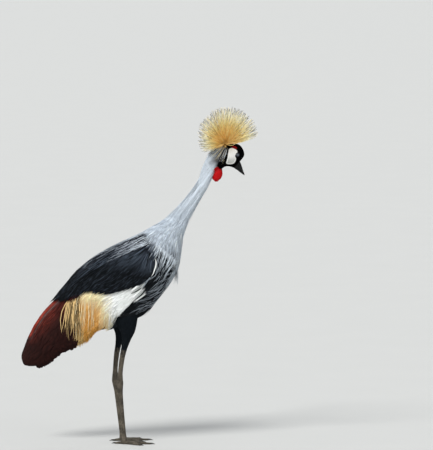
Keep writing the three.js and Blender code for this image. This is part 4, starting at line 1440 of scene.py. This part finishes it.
streaks("straw_strands", "golden_feather", 20, 30, ((-118, 474), (-162, 458)), ((-114, 316), (-178, 356)),
        (1.8, 4.4), streaked(STRAW * 1.2, STRAW, STRAW * 0.28, 0.5, False), (0.5, 3.6), FINE_STOPS,
        wander=6.0, crowded=1.1, waves=3.0, reach=(0.7, 1.05))


def breast_wisps(count=14):
    """Loose plumes that hang free from the front of the breast."""
    draw = np.random.default_rng(31).random((count, 8))
    share = np.linspace(0, 1, LINE_STEPS + 1)[None, :, None]
    top = np.stack([186 + 6 * draw[:, 0], 16 * draw[:, 1] - 8, 582 - 14 * draw[:, 2]], -1)
    end = np.stack([176 + 16 * draw[:, 3], top[:, 1] * 1.5, 520 - 16 * draw[:, 4]], -1)
    lines = top[:, None] + (end - top)[:, None] * share
    lines[..., 0] += 4 * np.sin(math.pi * share[..., 0]) * (draw[:, 5:6] - 0.2)
    lines = (lines - [ORIGIN_X, 0, 0]) * MM
    feathers("breast_wisps", "grey_plumage", plumage, lines, np.broadcast_to([1.0, 0, 0], lines.shape),
             (2.4 + 2.2 * draw[:, 6]) * MM, "strand", LANCE_STOPS, plain_tones(PLUME_GREY * 0.45, 0.6), draw,
             draw[:, 0:2], np.zeros((count, len(LANCE_STOPS))))


breast_wisps()


# Tail and the wings' tips, black vanes under the secondaries

def vanes_along(name, lines, outs, wide, *nodes):
    count = len(lines)
    draw = np.random.default_rng(count).random((count, 6))
    place = np.stack([np.linspace(0, 1, count), np.tile([0.0, 1.0], count)[:count]], -1)
    piece = feathers(
        name, "dark_feather", vaned, lines, outs, np.full(count, wide * MM), "broad", BROAD_STOPS,
        plain_tones(COAL * 0.8, 0.2, 0.8, 1.2, 0.3, SLATE), draw, place,
        np.zeros((count, len(BROAD_STOPS))), 5, 0.06
    )
    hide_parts(*nodes)


tail_line = curve([at(x, z) for x, z in ((-90, 425), (-130, 384), (-178, 334), (-214, 292))], 8)
share = np.linspace(0, 1, len(tail_line))
tail_lines = np.stack([
    tail_line + np.outer(4 + 20 * share, [0, f, 0]) * MM - np.outer(share, [0.5, 0, -1]) * abs(f) * 5 * MM
    + np.array([1, 0, -1]) * abs(f) * 1.4 * MM for f in np.linspace(-1, 1, 12)
])
vanes_along("tail_feathers", tail_lines, np.broadcast_to([-0.76, 0, 0.65], tail_lines.shape), 15, "tail")

tip_line = curve([at(x, z) for x, z in ((-80, 430), (-130, 388), (-178, 336), (-212, 294))], 8)
tip_lines, tip_outs = [], []
for sign in (-1, 1):
    for n in range(7):
        across = np.outer((n / 6 - 0.5) * (16 - 8 * share), [0.72, 0, -0.69])
        tip_lines.append(tip_line + (across + np.outer(44 - 14 * share + 1.2 * n, [0, sign, 0])) * MM)
        tip_outs.append(np.broadcast_to([0, sign, 0], tip_line.shape))
vanes_along("primary_feathers", np.stack(tip_lines), np.stack(tip_outs), 17, "primaries_left",
            "primaries_right")


# Crown: stiff bristles that fan from their bed

def crown_lines():
    """The bristles' lines and ways, and a chance for each."""
    rng = np.random.default_rng(14)
    centre, radii, root, bed = (np.array(CROWN[k], float) for k in ("centre", "radii", "root", "bed"))
    n = np.arange(BRISTLES)
    height = 1 - (2 * n + 1) / BRISTLES
    ring = np.sqrt(1 - height**2)
    turn = n * math.pi * (3 - 5**0.5)
    way = np.stack([ring * np.cos(turn), ring * np.sin(turn), height], -1)
    way = unit(way + 0.03 * rng.normal(size=way.shape))
    tip = centre + way * radii * (1.0 - 0.2 * rng.random((BRISTLES, 1)) ** 2)
    kept = tip[:, 2] > CROWN_FOOT[1] + CROWN_FOOT[2] * (tip[:, 0] - CROWN_FOOT[0])
    tip, way = tip[kept], way[kept]
    start = root + bed * unit((tip - root) / bed * 0.4 + 0.5 * rng.normal(size=tip.shape)) * 0.55
    share = np.linspace(0, 1, 7)[None, :, None]
    bow = 0.035 * rng.normal(size=tip.shape) * np.linalg.norm(tip - start, axis=1, keepdims=True)
    bow[:, 2] -= 1.5
    lines = start[:, None] + (tip - start)[:, None] * share + bow[:, None] * np.sin(math.pi * share)
    lines = (lines - [ORIGIN_X, 0, 0]) * MM
    u, turn = (m.ravel() for m in np.meshgrid(np.linspace(0, 6 / LAST, 90), np.linspace(-3.1, 3.1, 80)))
    skin_spots, _, _, outs = hull.frame_at(u, turn)
    clear = np.ones(len(lines), bool)
    for m, line in enumerate(lines):
        for spot in line[3:]:
            near = ((skin_spots - spot) ** 2).sum(1).argmin()
            clear[m] &= (spot - skin_spots[near]).dot(outs[near]) > 1.5 * MM
    return lines[clear], way[clear], rng.random(clear.sum())


def make_crown(sides=4):
    lines, way, chance = crown_lines()
    count, steps = lines.shape[:2]
    ends = np.arange(count * steps).reshape(count, steps)
    pairs = np.stack([ends[:, :-1], ends[:, 1:]], -1).reshape(-1, 2)
    start = bpy.data.meshes.new("crown_bristles")
    start.from_pydata(lines.reshape(-1, 3).tolist(), pairs.tolist(), [])
    piece = grown_with(bristle_tree(), start, **{
        "Root radius": 0.8 * MM, "Tip radius": 0.55 * MM, "Sides": sides, "Spread": 0.3, "Seed": 3,
        "Finish": straw,
    })
    found = positions(piece.data).reshape(count, -1, 3)
    middle = found[:, :steps * sides].reshape(count, steps, sides, 3).mean(2)
    both = lines[:, [0, -1]].reshape(count, 6)
    number = np.array([np.abs(both - m).sum(1).argmin() for m in middle[:, [0, -1]].reshape(count, 6)])
    share = np.repeat(np.linspace(0, 1, steps), sides)
    chance, aside = chance[number], np.abs(way[number, 1])
    far = share * (1 - 0.45 * smooth(aside, 0.3, 0.95))[:, None] + 0.1 * (chance - 0.5)[:, None]
    colour = layered(
        np.broadcast_to(AMBER, (*far.shape, 3)), (STRAW_LIGHT, smooth(far, 0.3, 0.56)),
        (CREAM, smooth(far, 0.55, 0.8)), (BRISTLE_TIP, smooth(far, 0.91, 0.95) * (chance > 0.4)[:, None]),
    )
    shade = np.where(chance * 7 % 1 < 0.2, 0.4, 1.0)[:, None] ** smooth(far, 0.3, 0.6)
    set_tone(piece.data, (colour * ((0.95 + 0.2 * chance)[:, None] * shade)[..., None]).reshape(-1, 3))
    corner = corners_of(piece.data)
    which, local = corner // (steps * sides), corner % (steps * sides)
    place = np.stack([np.arctan2(way[:, 1], way[:, 0]) / (2 * math.pi) + 0.5, way[:, 2]], -1)
    patch = np.stack([(local % sides) / (sides - 1) - 0.5, share[local] - 0.5], -1) * PATCH
    set_map(piece.data, "OFBake", spread(place)[number[which]] + patch)
    set_map(piece.data, "vane", np.stack([(local % sides) * 0.001, share[local] * 0.09], -1))
    part_of_crane(piece, "bristle", straw, "crown")


make_crown()


# Bill, eyes and claws

def bill_shape(spot, out, u, turn):
    culmen = 0.35 * np.exp(-(turn / 0.25) ** 2) * smooth(1 - u, 0.0, 0.3)
    groove = 0.45 * np.exp(-((np.abs(turn) - 1.0) / 0.16) ** 2)
    groove = groove * smooth(u, 0.1, 0.25) * smooth(-u, -0.75, -0.5)
    return spot + out * ((culmen - groove - 0.1) * MM)[:, None]


def cut_bill(part, outline, nostrils=()):
    bill = tube_through(BILL)
    piece = body_of_rings(f"{part}_horn", rings_of(bill, spaced(bill, 0.7 * MM), 56, bill_shape))
    piece = combined(piece, [prism("part", outline, 0.05)], "INTERSECT")
    if nostrils:
        piece = combined(piece, [body_of_rings("nostril", rings) for rings in nostrils], "DIFFERENCE")
    part_of_crane(piece, "bill", horn, part)


NOSTRIL = np.array([(3.12, 0, -4.16), (1.0, 0, 0.75), (0, 3.8, 0)])  # its half axes
cut_bill("bill_upper", [(352, 905.2), (376, 886.2), (412, 855.2), (500, 900), (430, 990), (352, 990)],
         [ball_rings(at(390.5, 890.5, sign * 7.2), NOSTRIL * MM, 16, 20) for sign in (-1, 1)])
cut_bill("bill_lower", [(352, 904.8), (376, 885.8), (412, 854.8), (400, 800), (330, 840)])

iris = eye_finish()
for side, sign in (("left", 1), ("right", -1)):
    centre, look, bill_way, up = eye_frame(sign)
    rel = ball_rings(centre, [way * (EYE["radius"] * MM) for way in (look, bill_way, up)], 40, 56) - centre
    rings = centre + rel * (1 + 0.07 * smooth(dot(unit(rel), look), 0.72, 1.0))
    ball = body_of_rings(f"eyeball_{side}", rings)
    rel = positions(ball.data) - centre
    ahead = rel @ look
    disc = np.where(ahead > 0, np.sqrt(np.maximum((rel**2).sum(1) - ahead**2, 0)) / MM, IRIS_REACH)
    for label, values in (("disc", disc), ("ray", np.arctan2(rel @ up, rel @ bill_way))):
        ball.data.attributes.new(label, "FLOAT", "POINT").data.foreach_set("value", values.astype(np.float32))
    part_of_crane(ball, "eye", iris, f"eye_{side}")


def nail_of(side, name):
    """A claw's places, corners and face starts."""
    heel, way = toe_start(side, name)
    _, long, claw = TOES[name]
    points = [heel + (way * (long + far) + [0, 0, high]) * MM for far, high in
              ((-1.5, 3.0), (0.25 * claw, 3.5), (0.6 * claw, 3.0), (claw, 1.2))]
    sizes = np.array([(2.6, 2.3), (2.3, 1.9), (1.5, 1.2), (0.5, 0.4)]) * MM
    rings = rings_of(limb(points, sizes, (0, 0, 1), steps=8), np.linspace(0, 1, 20), 16)
    rings[..., 2] = np.maximum(rings[..., 2], 0.0003)
    return lofted(rings)


for side in STANCE:
    nails = [nail_of(side, name) for name in TOES]
    places, corners, starts = (list(values) for values in zip(*nails))
    corners = [c + n * len(places[0]) for n, c in enumerate(corners)]
    starts = [s + n * len(corners[0]) for n, s in enumerate(starts)]
    claws = new_mesh(f"claw_horn_{side}", *(np.concatenate(values) for values in (places, corners, starts)))
    part_of_crane(new_object(claws.name, claws), "claw", claw_horn, *(f"claw_{name}_{side}" for name in TOES))


# Scales of the legs: broad plates down the front of the tarsus and over the toes, small ones round them

def plates_on(tube, us, turn, long, wide, thick):
    us = np.asarray(us, float)
    turns = np.full(len(us), float(turn))
    spot, along, _, out = tube.frame_at(us, turns)
    size = np.broadcast_to(np.array([long, wide, thick]) * MM, spot.shape)
    return spot - out * 0.1 * MM, out, unit(along), size, np.stack([turns / (2 * math.pi) % 1, us], -1)


def scale_rows(side):
    """Places, ways out, ways along, sizes and places on the unwrapped skin of all of a leg's scales."""
    leg = legs[side]
    rows = [plates_on(leg, spaced(leg, 5.0 * MM, 0.6, 0.985), 0.0, 3.1, 3.5, 0.75)]
    small = spaced(leg, 3.1 * MM, 0.36, 0.99)
    for us, turns, size in (
        (small, (62, 92, 122, 152, 180, -152, -122, -92, -62), (1.75, 1.5, 0.45)),
        (small[small < 0.6], (-30, 0, 30), (1.8, 1.7, 0.45)),
    ):
        for n, turn in enumerate(np.radians(turns)):
            rows.append(plates_on(leg, us[:-1] + (n % 2) * np.diff(us) / 2, turn, *size))
    for toe in (toe_tube(side, name) for name in TOES):
        over = spaced(toe, 3.6 * MM, 0.1, 0.99)
        rows.append(plates_on(toe, over, 0.0, 2.2, 3.3, 0.6))
        rows += [plates_on(toe, over, turn, 1.9, 1.5, 0.4) for turn in np.radians([-75, 75])]
    return [np.concatenate(parts) for parts in zip(*rows)]


def leg_scales(side, tree):
    spots, outs, alongs, sizes, place = scale_rows(side)
    start = bpy.data.meshes.new(f"leg_scales_{side}")
    start.from_pydata(spots.tolist(), [], [])
    for label, values in (("outwards", outs), ("lengthwise", alongs), ("sizes", sizes)):
        layer = start.attributes.new(label, "FLOAT_VECTOR", "POINT")
        layer.data.foreach_set("vector", np.ascontiguousarray(values, np.float32).ravel())
    piece = grown_with(tree, start, Rings=5, Segments=8, Finish=scaly_skin)
    found = positions(piece.data)
    found[:, 2] = np.maximum(found[:, 2], 0.0)
    piece.data.vertices.foreach_set("co", found.astype(np.float32).ravel())
    each = len(found) // len(spots)
    value = np.repeat(np.random.default_rng(5).uniform(0.8, 1.35, len(spots)), each)
    set_tone(piece.data, skin_colour(found) * value[:, None])
    corner = corners_of(piece.data)
    which = corner // each
    rel = found[corner] - spots[which]
    local = np.stack([(rel * np.cross(outs, alongs)[which]).sum(1) / sizes[which, 1],
                      (rel * alongs[which]).sum(1) / sizes[which, 0]], -1)
    set_map(piece.data, "OFBake", spread(place)[which] + np.clip(local, -1, 1) * PATCH / 2)
    part_of_crane(piece, "leg_skin", scaly_skin)


scute_tree = plate_tree()
for side in STANCE:
    leg_scales(side, scute_tree)


# Camera, floor and light

camera = new_object("camera", bpy.data.cameras.new("camera"))
bpy.context.scene.camera = camera
camera.location = VIEW_MIDDLE + VIEW_DISTANCE * np.array([0, -math.cos(TILT), math.sin(TILT)])
camera.rotation_euler = (math.pi / 2 - TILT, 0, 0)
camera.data.lens = 300.0
camera.data.clip_start, camera.data.clip_end = 0.1, 400.0

floor_corners = np.array([(-1, -1, 0), (1, -1, 0), (1, 1, 0), (-1, 1, 0)]) * FLOOR_REACH
floor_mesh = new_mesh("floor", floor_corners, np.arange(4), np.array([0]))
floor_finish, tree, principled = new_finish("floor", Roughness=0.9)
colour = node_of(tree, "ShaderNodeRGB")
colour.outputs[0].default_value = (0.5, 0.5, 0.48, 1)
tree.links.new(tinted(tree, colour.outputs[0], noise(tree, 4.0), 0.98, 1.02), principled.inputs["Base Color"])
floor_mesh.materials.append(floor_finish)
new_object("floor", floor_mesh)

world = bpy.data.worlds.new("studio")
bpy.context.scene.world = world
world.use_nodes = True
world.node_tree.nodes["Background"].inputs["Color"].default_value = (0.9, 0.94, 1.0, 1)
world.node_tree.nodes["Background"].inputs["Strength"].default_value = 0.6
for name, way, soft, power in (
    ("key", (0.45, 0.7, -0.95), 22, 2.9), ("fill", (-0.8, 0.6, -0.5), 60, 0.45),
    ("back", (0.3, -0.8, -0.7), 50, 0.5),
):
    lamp = new_object(name, bpy.data.lights.new(name, "SUN"))
    lamp.data.angle, lamp.data.energy = math.radians(soft), power
    lamp.rotation_euler = Vector(way).to_track_quat("-Z", "Y").to_euler()
bpy.context.scene.view_settings.view_transform = "Standard"
